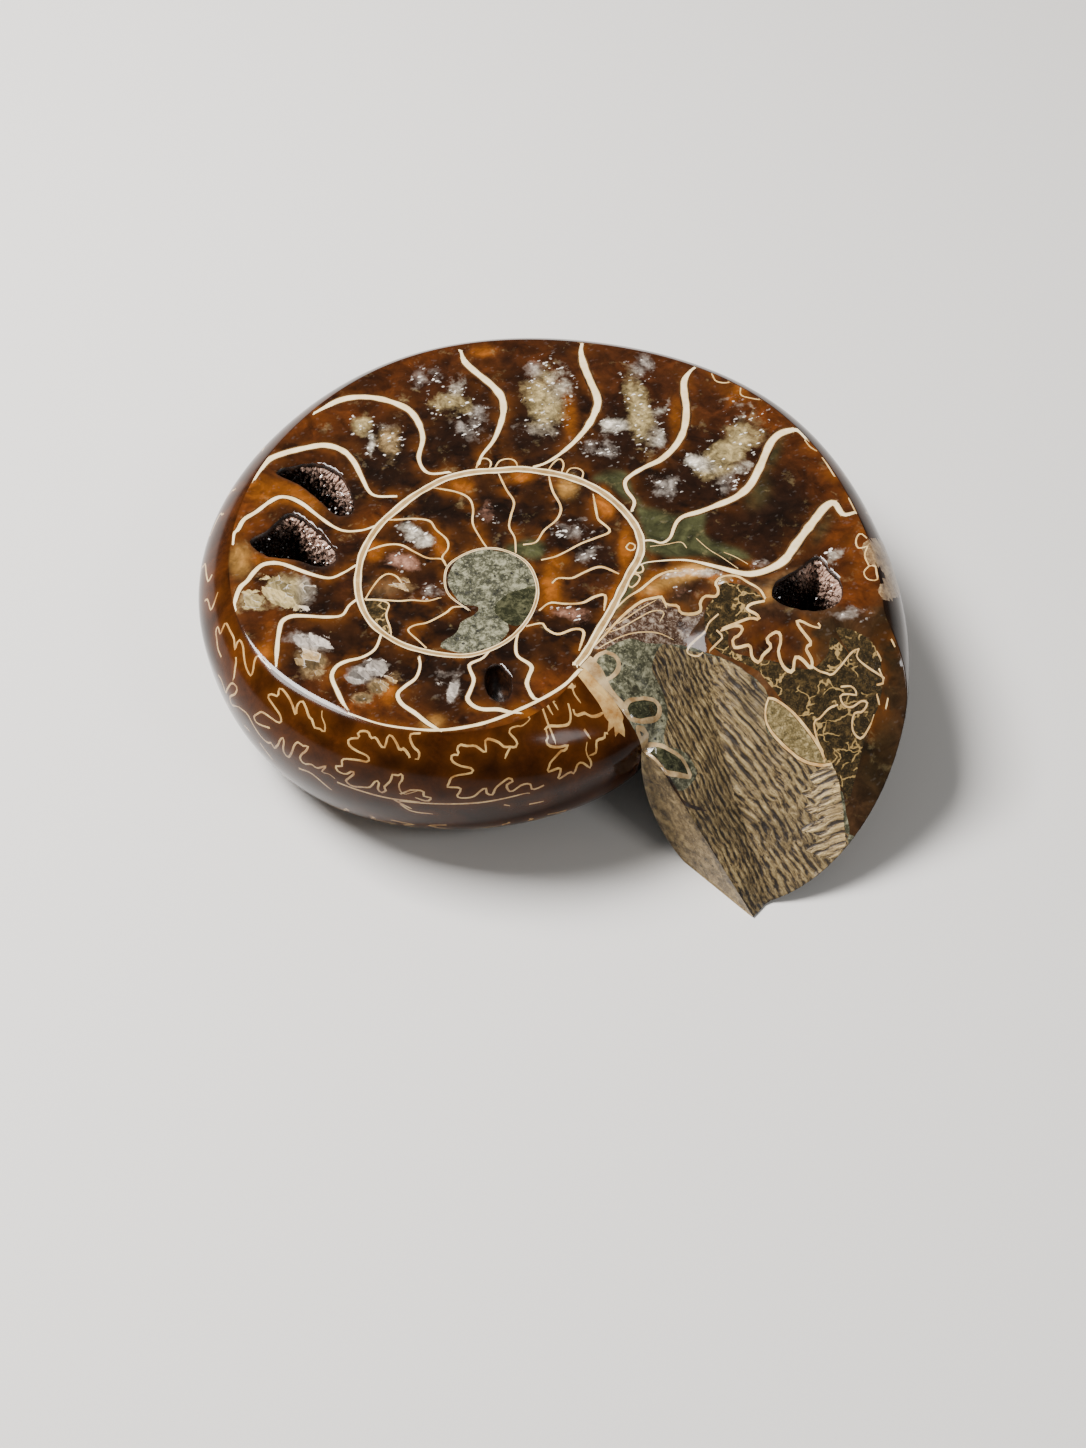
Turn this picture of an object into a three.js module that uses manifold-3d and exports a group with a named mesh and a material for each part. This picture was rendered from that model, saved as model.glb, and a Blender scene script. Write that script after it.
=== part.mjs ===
// A polished ammonite: a coiled shell turned to calcite, its upper flank ground flat and polished.
// Millimetres, +Z up. The origin is the middle of the underside of the bounding box.
// The coil is laid out around its own axis with z = 0 in the plane of the keel, then moved there.
import * as THREE from 'three';
import Module from 'manifold-3d';

const wasm = await Module();
wasm.setup();
const { Manifold, Mesh } = wasm;

// Driving dimensions: millimetres, and degrees counter-clockwise seen from above
const FACE_HEIGHT = 5.8;          // polished face above the keel
const REST_DEPTH = 12.2;          // resting flats below the keel
const MOUTH_ANGLE = -45;          // where the coil ends in its broken mouth
const TURN = 360;
const WHORL_RATIO = 2.05;         // growth of the coil in one turn
const UPPER_HALF_THICKNESS = 7.1; // height the upper flank had before it was ground
const UMBILICUS_DEPTH = 1.4;      // middle of the underside, below the keel
const UNDERSIDE_POWER = 2.15;     // 2 is an ellipse, more is squarer
const CORE_RADIUS = 5.2;
const INNER_OVERLAP = 0.6;        // each whorl reaches this share of the radius of the one inside it
const RADIUS_STEP = 30;           // angle between two entries in the three lists below
const KEEL_RADIUS = [41.4, 40.7, 40.6, 41.7, 39.8, 37.4, 33.6, 30.1, 26.5, 23.0, 20.4, 19.7, 20.2];
const EDGE_RADIUS = [38.0, 37.5, 37.5, 38.2, 36.1, 33.9, 29.8, 26.2, 23.1, 19.4, 16.9, 15.0, 12.6];
const HALF_THICKNESS = [13.1, 13.1, 13.1, 13.1, 13.1, 13.0, 12.9, 12.7, 12.1, 11.1, 9.6, 8.8, 8.4];

// The shoulder where the face starts to roll down into the mouth, and how steeply it falls
const SHOULDER = [[8.9, -8.9], [9.4, -7.3], [12.5, -2.4], [15.3, 0.5], [19.9, 2.5], [24.5, 2.0],
  [29.5, -0.5], [33.8, -1.7], [38.0, -1.5], [42.6, -0.9]];
const SLOPE = 0.95;
const SLOPE_ROUNDING = 4.6;
const MOUTH_REACH = 57.4;         // the cut for the mouth runs this far from the coil's axis
const MOUTH_RIGHT_ANGLE = 8;      // bearing of the end of that cut
const MOUTH_FANNING = 1.5;        // above 1, the cut's bearing turns slowly at first

// The whorl's outline starts this share of the way up its upper arc, above the ground-off face
const ARC_START = 0.6;

// Open chambers that crystals line: rim outlines in the polished face, and how deep each goes
const LINED_HOLLOWS = [
  { name: 'crystals_upper_left', depth: 6.5, rim: [[-21.7, 15.9], [-19.4, 17.0], [-17.2, 17.0],
    [-15.2, 15.6], [-13.9, 12.9], [-13.7, 10.6], [-15.2, 10.1], [-16.9, 11.9], [-19.1, 14.1]] },
  { name: 'crystals_lower_left', depth: 6.9, rim: [[-23.5, 6.7], [-22.0, 8.0], [-20.0, 10.4],
    [-18.0, 9.2], [-15.9, 6.7], [-14.8, 4.5], [-16.3, 3.4], [-18.9, 4.3], [-21.7, 4.8]] },
  { name: 'crystals_right', depth: 6.5, rim: [[31.7, 4.8], [32.7, 3.1], [33.7, 1.3], [33.3, -0.9],
    [31.5, -2.0], [29.1, -1.7], [27.0, -0.4], [27.4, 1.5], [29.6, 3.1]] },
];
// A fourth one, too small for a lining
const BARE_HOLLOW = { depth: 2.6, rim: [[-0.1, -9.1], [0.8, -8.5], [1.9, -9.6], [2.3, -11.1],
  [2.0, -12.4], [1.1, -12.9], [0.1, -12.1], [-0.3, -10.7]] };
// Pairs of a share of the depth and the size of the outline there
const HOLLOW_WALL = [[0, 1], [0.45, 0.92], [0.82, 0.68], [1, 0.35]];
const CRUST_GAP = 0.35;
const CRUST_TOP = 0.7;            // crust starts this far under the rim
const CRUST_THICKNESS = 0.55;
const CRYSTAL_HEIGHT = 1.2;
const CRYSTAL_RADIUS = 0.75;
const CRYSTAL_TIP_RADIUS = 0.075;
const CRYSTAL_SIDES = 4;
const CRYSTAL_SIZES = [0.7, 1.0, 1.3]; // taken in turn, as shares of the height
const CRYSTAL_LEAN = 0.5;         // upward part of a crystal's direction
// Where crystals stand, by turns: share of the depth and size of the outline there
const HIGH_CRYSTAL = [0.3, 0.95];
const LOW_CRYSTAL = [0.75, 0.72];
const SLANT = 1.5;                // makes up for walls that don't face the middle squarely
const SMALLEST_RING = 0.14;

// Fineness of the faceting
const HALF_TURN_STEPS = [36, 36, 18, 18, 10, 10]; // from the mouth inward
const CORE_SIDES = 24;
const UPPER_ARC_STEPS = 6;
const UNDERSIDE_STEPS = 14;
const MOUTH_STEPS = 10;
const RIM_STEPS = 14;
const CLEAR = 3;                  // cutting shapes stand this far clear of what they cut

const CALCITE = new THREE.MeshStandardMaterial({ color: 0x6b3413, roughness: 0.12, metalness: 0 });
const CRYSTAL = new THREE.MeshStandardMaterial({ color: 0x8a6a58, roughness: 0.25, metalness: 0 });

const radians = THREE.MathUtils.degToRad;
const mix = THREE.MathUtils.lerp;

// A smooth value between the entries of a list, at an angle within the outer whorl
function between(list, angle) {
  const place = (angle - MOUTH_ANGLE) / RADIUS_STEP;
  const last = list.length - 1;
  const index = Math.min(Math.max(Math.floor(place), 0), last - 1);
  const [before, start, end, after] = [-1, 0, 1, 2].map(k => list[Math.min(Math.max(index + k, 0), last)]);
  const t = place - index;
  return 0.5 * (2 * start + (end - before) * t + (2 * before - 5 * start + 4 * end - after) * t * t
    + (3 * start - before - 3 * end + after) * t * t * t);
}

// The same at any angle: each turn inward repeats the last one, smaller
function alongCoil(list, angle) {
  const inward = Math.max(Math.floor((angle - MOUTH_ANGLE) / TURN - 1e-9), 0);
  return between(list, angle - inward * TURN) / WHORL_RATIO ** inward;
}

function halfThickness(angle) {
  const beyond = Math.max(angle - MOUTH_ANGLE - TURN, 0);
  return between(HALF_THICKNESS, Math.min(angle, MOUTH_ANGLE + TURN)) / WHORL_RATIO ** (beyond / TURN);
}

// The whorl's outline at an angle, as [radius, height] pairs around its tube
function whorlSection(angle) {
  const keel = alongCoil(KEEL_RADIUS, angle);
  const edge = alongCoil(EDGE_RADIUS, angle);
  const thickness = halfThickness(angle);
  const inner = alongCoil(KEEL_RADIUS, angle + TURN);
  const faceTurn = Math.acos(FACE_HEIGHT / UPPER_HALF_THICKNESS);
  const bulge = (keel - edge) / (1 - Math.sin(faceTurn));
  const topTurn = ARC_START * faceTurn;
  const section = [];
  for (let i = 0; i <= UPPER_ARC_STEPS; i++) {
    const turn = mix(topTurn, Math.PI / 2, i / UPPER_ARC_STEPS);
    section.push([keel - bulge * (1 - Math.sin(turn)), UPPER_HALF_THICKNESS * Math.cos(turn)]);
  }
  const middle = (keel + inner) / 2;
  const half = (keel - inner) / 2;
  for (let i = 1; i <= UNDERSIDE_STEPS; i++) {
    const turn = Math.PI * i / UNDERSIDE_STEPS;
    const across = Math.sign(Math.cos(turn)) * Math.abs(Math.cos(turn)) ** (2 / UNDERSIDE_POWER);
    const down = Math.sin(turn) ** (2 / UNDERSIDE_POWER);
    section.push([middle + half * across, -thickness * down]);
  }
  section.push([INNER_OVERLAP * inner, 0]);
  section.push([INNER_OVERLAP * inner, UPPER_HALF_THICKNESS * Math.cos(topTurn)]);
  return section;
}

// A closed solid from rings of points, with a cap over the first and the last
function loft(rings, cap = fanCap) {
  const sides = rings[0].length;
  const positions = rings.flat(2);
  const triangles = [];
  for (let ring = 0; ring + 1 < rings.length; ring++) {
    for (let side = 0; side < sides; side++) {
      const a = ring * sides + side;
      const b = ring * sides + (side + 1) % sides;
      triangles.push(a, b, b + sides, a, b + sides, a + sides);
    }
  }
  for (const [a, b, c] of cap(rings[0], 0, positions)) triangles.push(a, c, b);
  triangles.push(...cap(rings.at(-1), (rings.length - 1) * sides, positions).flat());
  return solid(positions, triangles);
}

// Triangles from a new point in the middle of a ring to each of its sides
function fanCap(ring, first, positions) {
  const middle = positions.length / 3;
  positions.push(...[0, 1, 2].map(axis => ring.reduce((sum, p) => sum + p[axis], 0) / ring.length));
  return ring.map((_, i) => [first + i, first + (i + 1) % ring.length, middle]);
}

// Triangles across a ring whose second half runs back over its first
function ladderCap(ring, first) {
  const triangles = [];
  for (let low = 0, high = ring.length - 1; low + 1 < high; low++, high--) {
    triangles.push([first + low, first + low + 1, first + high]);
    if (low + 1 < high - 1) triangles.push([first + low + 1, first + high - 1, first + high]);
  }
  return triangles;
}

// A solid with its faces pointing out, whichever way its rings were wound
function solid(positions, triangles) {
  const make = list => new Manifold(new Mesh({
    numProp: 3,
    vertProperties: new Float32Array(positions),
    triVerts: new Uint32Array(list),
  }));
  const shape = make(triangles);
  if (shape.volume() > 0) return shape;
  const turned = [];
  for (let i = 0; i < triangles.length; i += 3) turned.push(triangles[i], triangles[i + 2], triangles[i + 1]);
  return make(turned);
}

function onCoil(angle, radius, height) {
  return [radius * Math.cos(radians(angle)), radius * Math.sin(radians(angle)), height];
}

// Half a turn of the tube, from its outer end inward
function halfWhorl(startAngle, steps) {
  const rings = [];
  for (let i = 0; i <= steps; i++) {
    const angle = startAngle + TURN / 2 * i / steps;
    rings.push(whorlSection(angle).map(([radius, height]) => onCoil(angle, radius, height)));
  }
  return loft(rings);
}

// The filled middle of the coil
function core() {
  const ring = height => Array.from({ length: CORE_SIDES }, (_, i) =>
    onCoil(TURN * i / CORE_SIDES, CORE_RADIUS, height));
  return loft([ring(-UMBILICUS_DEPTH), ring(UPPER_HALF_THICKNESS)]);
}

// How far the polished surface lies below the face, at a distance past the shoulder
function fall(distance) {
  return SLOPE * (Math.hypot(distance, SLOPE_ROUNDING) - SLOPE_ROUNDING);
}

function distanceToShoulder(x, y) {
  const point = new THREE.Vector3(x, y, 0);
  const nearest = new THREE.Vector3();
  let least = Infinity;
  for (let i = 0; i + 1 < SHOULDER.length; i++) {
    const line = new THREE.Line3(new THREE.Vector3(...SHOULDER[i], 0), new THREE.Vector3(...SHOULDER[i + 1], 0));
    line.closestPointToPoint(point, true, nearest);
    least = Math.min(least, nearest.distanceTo(point));
  }
  return least;
}

// What was ground and broken away at the mouth: all that lies above the sloping surface
function mouthCut() {
  const rings = SHOULDER.map(([x, y], i) => {
    const bearing = mix(MOUTH_ANGLE, MOUTH_RIGHT_ANGLE, (i / (SHOULDER.length - 1)) ** MOUTH_FANNING);
    const [farX, farY] = onCoil(bearing, MOUTH_REACH, 0);
    const lower = [];
    const upper = [];
    for (let k = 0; k <= MOUTH_STEPS; k++) {
      const share = k / MOUTH_STEPS;
      const px = mix(x, farX, share);
      const py = mix(y, farY, share);
      lower.push([px, py, FACE_HEIGHT - fall(distanceToShoulder(px, py))]);
      upper.unshift([px, py, FACE_HEIGHT + CLEAR]);
    }
    return [...lower, ...upper];
  });
  return loft(rings, ladderCap);
}

function slab(bottom, top) {
  const box = new THREE.BoxGeometry(4 * MOUTH_REACH, 4 * MOUTH_REACH, top - bottom);
  const corners = box.attributes.position;
  const shared = new Map();
  const positions = [];
  const triangles = [];
  for (const index of box.index.array) {
    const corner = [corners.getX(index), corners.getY(index), corners.getZ(index) + (top + bottom) / 2];
    const key = corner.join();
    if (!shared.has(key)) {
      shared.set(key, shared.size);
      positions.push(...corner);
    }
    triangles.push(shared.get(key));
  }
  return solid(positions, triangles);
}

// The rim of a hollow as a smooth closed curve
function rimCurve(hollow) {
  const points = hollow.rim.map(([x, y]) => new THREE.Vector3(x, y, 0));
  return new THREE.CatmullRomCurve3(points, true).getSpacedPoints(RIM_STEPS).slice(0, RIM_STEPS);
}

function hollowMiddle(hollow) {
  const sum = hollow.rim.reduce(([sx, sy], [x, y]) => [sx + x, sy + y], [0, 0]);
  return sum.map(value => value / hollow.rim.length);
}

// A point on a hollow's wall at one share of its depth, drawn in from the wall by a margin
function wallPoint(hollow, rimPoint, share, size, margin) {
  const [middleX, middleY] = hollowMiddle(hollow);
  const dx = rimPoint.x - middleX;
  const dy = rimPoint.y - middleY;
  const scale = Math.max(size - SLANT * margin / Math.hypot(dx, dy), SMALLEST_RING);
  return [middleX + dx * scale, middleY + dy * scale, FACE_HEIGHT - share * hollow.depth + margin];
}

// The space of a hollow, smaller all round by a margin and open upward to a level
function bowl(hollow, margin, top) {
  const rim = rimCurve(hollow);
  const walls = HOLLOW_WALL.map(([share, size]) => rim.map(p => wallPoint(hollow, p, share, size, margin)));
  const mouth = walls[0].map(([x, y]) => [x, y, top]);
  return loft([mouth, ...walls.slice(1)]);
}

// One pointed crystal that stands on a hollow's wall and leans to its middle
function crystal(hollow, rimPoint, share, size, height) {
  const [x, y, z] = wallPoint(hollow, rimPoint, share, size, CRUST_GAP + CRUST_THICKNESS / 2);
  const [middleX, middleY] = hollowMiddle(hollow);
  const axis = new THREE.Vector3(middleX - x, middleY - y, 0).normalize().setZ(CRYSTAL_LEAN).normalize();
  const turn = new THREE.Quaternion().setFromUnitVectors(new THREE.Vector3(0, 0, 1), axis);
  const foot = new THREE.Vector3(x, y, z);
  const ring = (radius, level) => Array.from({ length: CRYSTAL_SIDES }, (_, side) => {
    const angle = radians(TURN * side / CRYSTAL_SIDES);
    const point = new THREE.Vector3(radius * Math.cos(angle), radius * Math.sin(angle), level);
    return point.applyQuaternion(turn).add(foot).toArray();
  });
  return loft([ring(CRYSTAL_RADIUS, 0), ring(CRYSTAL_TIP_RADIUS, height)]);
}

// The lining of a hollow: a thin shell with crystals that stand up from it
function crust(hollow) {
  const space = bowl(hollow, CRUST_GAP, FACE_HEIGHT - CRUST_TOP);
  let lining = space.subtract(bowl(hollow, CRUST_GAP + CRUST_THICKNESS, FACE_HEIGHT + CLEAR));
  rimCurve(hollow).forEach((rimPoint, i) => {
    const [share, size] = i % 2 === 0 ? HIGH_CRYSTAL : LOW_CRYSTAL;
    const height = CRYSTAL_HEIGHT * CRYSTAL_SIZES[i % CRYSTAL_SIZES.length];
    lining = lining.add(crystal(hollow, rimPoint, share, size, height));
  });
  return lining.intersect(space).decompose().reduce((a, b) => (a.volume() > b.volume() ? a : b));
}

function ammonite() {
  let shell = core();
  HALF_TURN_STEPS.forEach((steps, i) => {
    shell = shell.add(halfWhorl(MOUTH_ANGLE + i * TURN / 2, steps));
  });
  shell = shell.subtract(mouthCut());
  shell = shell.subtract(slab(FACE_HEIGHT, FACE_HEIGHT + 2 * CLEAR));
  shell = shell.subtract(slab(-REST_DEPTH - 2 * CLEAR, -REST_DEPTH));
  for (const hollow of [...LINED_HOLLOWS, BARE_HOLLOW]) {
    shell = shell.subtract(bowl(hollow, 0, FACE_HEIGHT + CLEAR));
  }
  return shell;
}

function geometryOf(shape) {
  const { vertProperties, triVerts } = shape.getMesh();
  const geometry = new THREE.BufferGeometry();
  geometry.setAttribute('position', new THREE.BufferAttribute(vertProperties, 3));
  geometry.setIndex(new THREE.BufferAttribute(triVerts, 1));
  geometry.computeVertexNormals();
  return geometry;
}

function named(name, shape, material) {
  const mesh = new THREE.Mesh(geometryOf(shape), material);
  mesh.name = name;
  return mesh;
}

const body = named('ammonite', ammonite(), CALCITE);
const fossil = new THREE.Group();
fossil.add(body);
for (const hollow of LINED_HOLLOWS) {
  fossil.add(named(hollow.name, crust(hollow), CRYSTAL));
}

body.geometry.computeBoundingBox();
const { min, max } = body.geometry.boundingBox;
fossil.position.set(-(min.x + max.x) / 2, -(min.y + max.y) / 2, -min.z);

export default fossil;
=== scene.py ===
"""A polished ammonite: a coiled shell turned to calcite, ground flat and polished on its upper side.

Lengths are in millimetres around the coil's own axis, with z = 0 in the plane of the keel, and are
moved into the frame and into metres when a mesh is made. Photograph pixels are in its 1086 x 1448 frame.
"""
import math

import bpy
import numpy as np
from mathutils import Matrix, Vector, geometry, kdtree, noise


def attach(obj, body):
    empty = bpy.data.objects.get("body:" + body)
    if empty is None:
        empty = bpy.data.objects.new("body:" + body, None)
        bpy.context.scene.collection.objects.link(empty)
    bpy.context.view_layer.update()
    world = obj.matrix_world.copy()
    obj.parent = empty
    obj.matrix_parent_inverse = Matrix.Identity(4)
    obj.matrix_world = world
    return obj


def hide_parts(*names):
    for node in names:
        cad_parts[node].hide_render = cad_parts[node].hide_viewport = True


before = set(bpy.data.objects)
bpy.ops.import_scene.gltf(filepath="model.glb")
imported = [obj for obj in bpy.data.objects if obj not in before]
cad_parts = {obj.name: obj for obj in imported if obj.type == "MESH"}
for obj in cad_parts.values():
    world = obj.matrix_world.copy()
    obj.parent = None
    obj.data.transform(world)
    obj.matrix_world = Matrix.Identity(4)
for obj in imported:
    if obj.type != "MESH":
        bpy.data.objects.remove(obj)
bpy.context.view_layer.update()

SEED = 11

# The frame's numbers that the shape repeats, in millimetres and degrees; the lists have an entry each
# 30 degrees from the mouth inward: radius of the keel, radius of the polish's rim, half-thickness
COIL_AXIS = (-5.73, -6.94)
FACE = 5.8
REST = 12.2
MOUTH = -45
TURN = 360
RATIO = 2.05
UPPER_HALF = 7.1
POWER = 2.15
STEP = 30
KEEL = [41.4, 40.7, 40.6, 41.7, 39.8, 37.4, 33.6, 30.1, 26.5, 23.0, 20.4, 19.7, 20.2]
EDGE = [38.0, 37.5, 37.5, 38.2, 36.1, 33.9, 29.8, 26.2, 23.1, 19.4, 16.9, 15.0, 12.6]
HALF = [13.1, 13.1, 13.1, 13.1, 13.1, 13.0, 12.9, 12.7, 12.1, 11.1, 9.6, 8.8, 8.4]
SHOULDER = [(8.9, -8.9), (9.4, -7.3), (12.5, -2.4), (15.3, 0.5), (19.9, 2.5), (24.5, 2.0),
            (29.5, -0.5), (33.8, -1.7), (38.0, -1.5), (42.6, -0.9)]
SLOPE = 0.95
SLOPE_ROUNDING = 4.6
REACH = 57.4
MOUTH_ARC = (8, MOUTH - 0.5)
NOSE_BLEND = 3.0
NOSE_REACH = 4

# The camera of the photograph, around the coil's axis
CAMERA = (5.09, -117.69, 145.06)
PITCH = 53.7
FOCAL_PX = 1908.0
PHOTO = (1086, 1448)
SENSOR = 36.0

# Spacing of the mesh's points
FACE_SPACING = 0.38
SIDE_SPACING = 0.62
END_SPACING = 0.8
LINE_SPACING = 0.32
ZONE_SPACING = 0.45
HOLE_SPACING = 0.3
UPPER_ROWS = 12
LOWER_ROWS = 20
WALL_ROWS = 40
CURVE_STEPS = 6
WELD = 0.004
TINY = 1e-12

# The flat layout of the side: height of its part above the keel, and of each quarter turn below it
ABOVE_KEEL = 7.5
BELOW_KEEL = 17

# The rounded rim of the polish: its width, wider over some of the way round, and none at its two ends
BEVEL = 0.14
WIDE_BEVEL = 0.9
WIDE_FROM = (140, 185)
WIDE_TO = (236, 262)
BEVEL_FADE = 5
BEVEL_STEPS = (0.25, 0.5, 0.75, 1.0)
ROUNDED = slice(6, -6)

# Lines and zones: reach of the search for a line, share by which a line's width varies, glow beside it,
# soft and rough edges in pixels, and the way along the side that the scar of the rim may take
LINE_REACH = 2.5
FAR = 99.0
UNEVEN = 0.22
FINE_LIMIT = 0.19
GLOW_REACH = 0.8
SOFT_EDGE = 4.0
ROUGH_MARGIN = 12
SCAR_WAY = 60.0
SUTURE_HALF = 0.105
UNSEEN_HALF = 0.12


# Marks read from the photograph, in its pixels

SPIRAL_WALL = [(469, 610), (461, 605), (450, 596), (445, 584), (447, 568), (459, 557), (478, 549),
    (498, 549), (517, 556), (530, 567), (537, 584), (536, 600), (528, 619), (513, 636), (494, 648),
    (469, 655), (444, 655), (419, 650), (400, 643), (382, 632), (369, 619), (361, 603), (358, 586),
    (359, 569), (362, 555), (369, 540), (380, 525), (394, 512), (411, 498), (428, 487), (448, 478),
    (473, 472), (498, 470), (520, 469), (540, 471), (560, 475), (580, 481), (598, 490), (612, 500),
    (625, 512), (635, 525), (640, 538), (641, 550), (637, 561), (630, 573), (620, 592), (610, 612),
    (598, 632), (586, 652), (577, 664)]

# Partitions between chambers: half-widths in mm at the inner and outer end, then the line
PARTITIONS = [
    (0.07, 0.52, [(640, 565), (650, 562), (684, 560), (714, 566), (740, 573), (754, 573), (769, 569),
        (784, 560), (797, 543), (812, 523), (825, 507), (834, 503), (843, 514), (856, 512)]),
    (0.14, 0.48, [(641, 541), (651, 540), (662, 543), (670, 538), (674, 528), (677, 521), (684, 516),
        (701, 511), (719, 504), (736, 497), (749, 486), (758, 471), (766, 453), (771, 442), (779, 434),
        (790, 430), (799, 430), (810, 436)]),
    (0.20, 0.43, [(632, 510), (634, 501), (627, 491), (625, 482), (631, 475), (645, 467), (661, 459),
        (675, 446), (684, 430), (686, 410), (684, 391), (684, 380), (690, 371), (697, 364)]),
    (0.18, 0.46, [(534, 467), (545, 463), (559, 455), (575, 441), (588, 425), (597, 407), (597, 396),
        (591, 382), (584, 366), (581, 353), (582, 342)]),
    (0.18, 0.46, [(479, 464), (482, 455), (493, 441), (500, 426), (504, 410), (501, 396), (491, 384),
        (477, 373), (465, 362), (461, 351)]),
    (0.18, 0.43, [(449, 472), (432, 474), (423, 469), (419, 457), (423, 439), (419, 424), (410, 411),
        (395, 403), (375, 398), (356, 397), (338, 401), (314, 413)]),
    (0.17, 0.43, [(397, 496), (378, 496), (369, 491), (362, 478), (353, 461), (342, 450), (325, 445),
        (306, 448), (282, 454), (264, 461), (245, 474)]),
    (0.15, 0.27, [(375, 526), (362, 530), (345, 531), (332, 526), (317, 515), (303, 504), (290, 498),
        (279, 497), (268, 503), (256, 512), (244, 520), (238, 530), (230, 533), (225, 544)]),
    (0.15, 0.29, [(356, 565), (343, 573), (329, 578), (310, 574), (295, 568), (279, 563), (264, 564),
        (255, 571), (247, 581), (240, 588), (234, 603), (231, 612)]),
    (0.15, 0.26, [(357, 599), (349, 606), (342, 615), (327, 617), (308, 616), (292, 616), (282, 621),
        (279, 632), (277, 647), (276, 667)]),
    (0.15, 0.25, [(381, 634), (375, 649), (362, 657), (347, 661), (336, 667), (332, 677), (338, 692),
        (343, 703), (348, 710)]),
    (0.15, 0.25, [(419, 656), (420, 666), (416, 678), (405, 686), (398, 694), (402, 704), (415, 713),
        (428, 723), (441, 731)]),
    (0.15, 0.25, [(489, 651), (483, 658), (470, 664), (470, 670), (474, 680), (470, 691), (467, 699),
        (473, 706), (483, 709), (498, 709), (508, 712), (521, 713)]),
    (0.15, 0.23, [(518, 633), (516, 645), (518, 656), (531, 666), (529, 676), (527, 685), (533, 698),
        (541, 699)]),
    (0.13, 0.18, [(527, 626), (542, 623), (547, 629), (558, 634), (575, 629), (584, 632), (579, 650)]),
    (0.13, 0.18, [(539, 610), (550, 603), (565, 604), (582, 603), (595, 597), (605, 595), (604, 610)]),
    (0.13, 0.18, [(552, 583), (558, 578), (572, 578), (585, 572), (601, 567), (619, 574)]),
    (0.12, 0.17, [(541, 560), (555, 557), (567, 551), (581, 543), (596, 538), (610, 531), (599, 520),
        (597, 516), (593, 494)]),
    (0.12, 0.16, [(523, 545), (536, 542), (544, 530), (557, 519), (561, 507), (553, 492), (550, 482),
        (549, 474)]),
    (0.11, 0.15, [(516, 552), (515, 538), (509, 527), (511, 515), (514, 502), (507, 490), (498, 472)]),
    (0.11, 0.15, [(487, 548), (480, 538), (473, 523), (473, 509), (469, 498), (455, 492), (430, 487)]),
    (0.11, 0.15, [(446, 566), (442, 557), (448, 549), (447, 540), (436, 530), (430, 521), (415, 519),
        (398, 520), (384, 520)]),
    (0.11, 0.15, [(446, 566), (442, 559), (428, 558), (415, 552), (402, 545), (390, 544), (378, 547),
        (363, 553)]),
    (0.11, 0.14, [(366, 598), (372, 588), (380, 578), (388, 574), (396, 576), (402, 583)]),
    (0.10, 0.13, [(441, 597), (427, 601), (412, 600), (400, 601), (385, 600), (364, 599)]),
    (0.10, 0.12, [(366, 600), (377, 600), (389, 604), (386, 615), (390, 628), (392, 638)]),
    (0.11, 0.14, [(426, 648), (418, 640), (408, 630), (415, 625), (428, 622), (446, 613), (453, 607),
        (466, 607)]),
]

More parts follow.
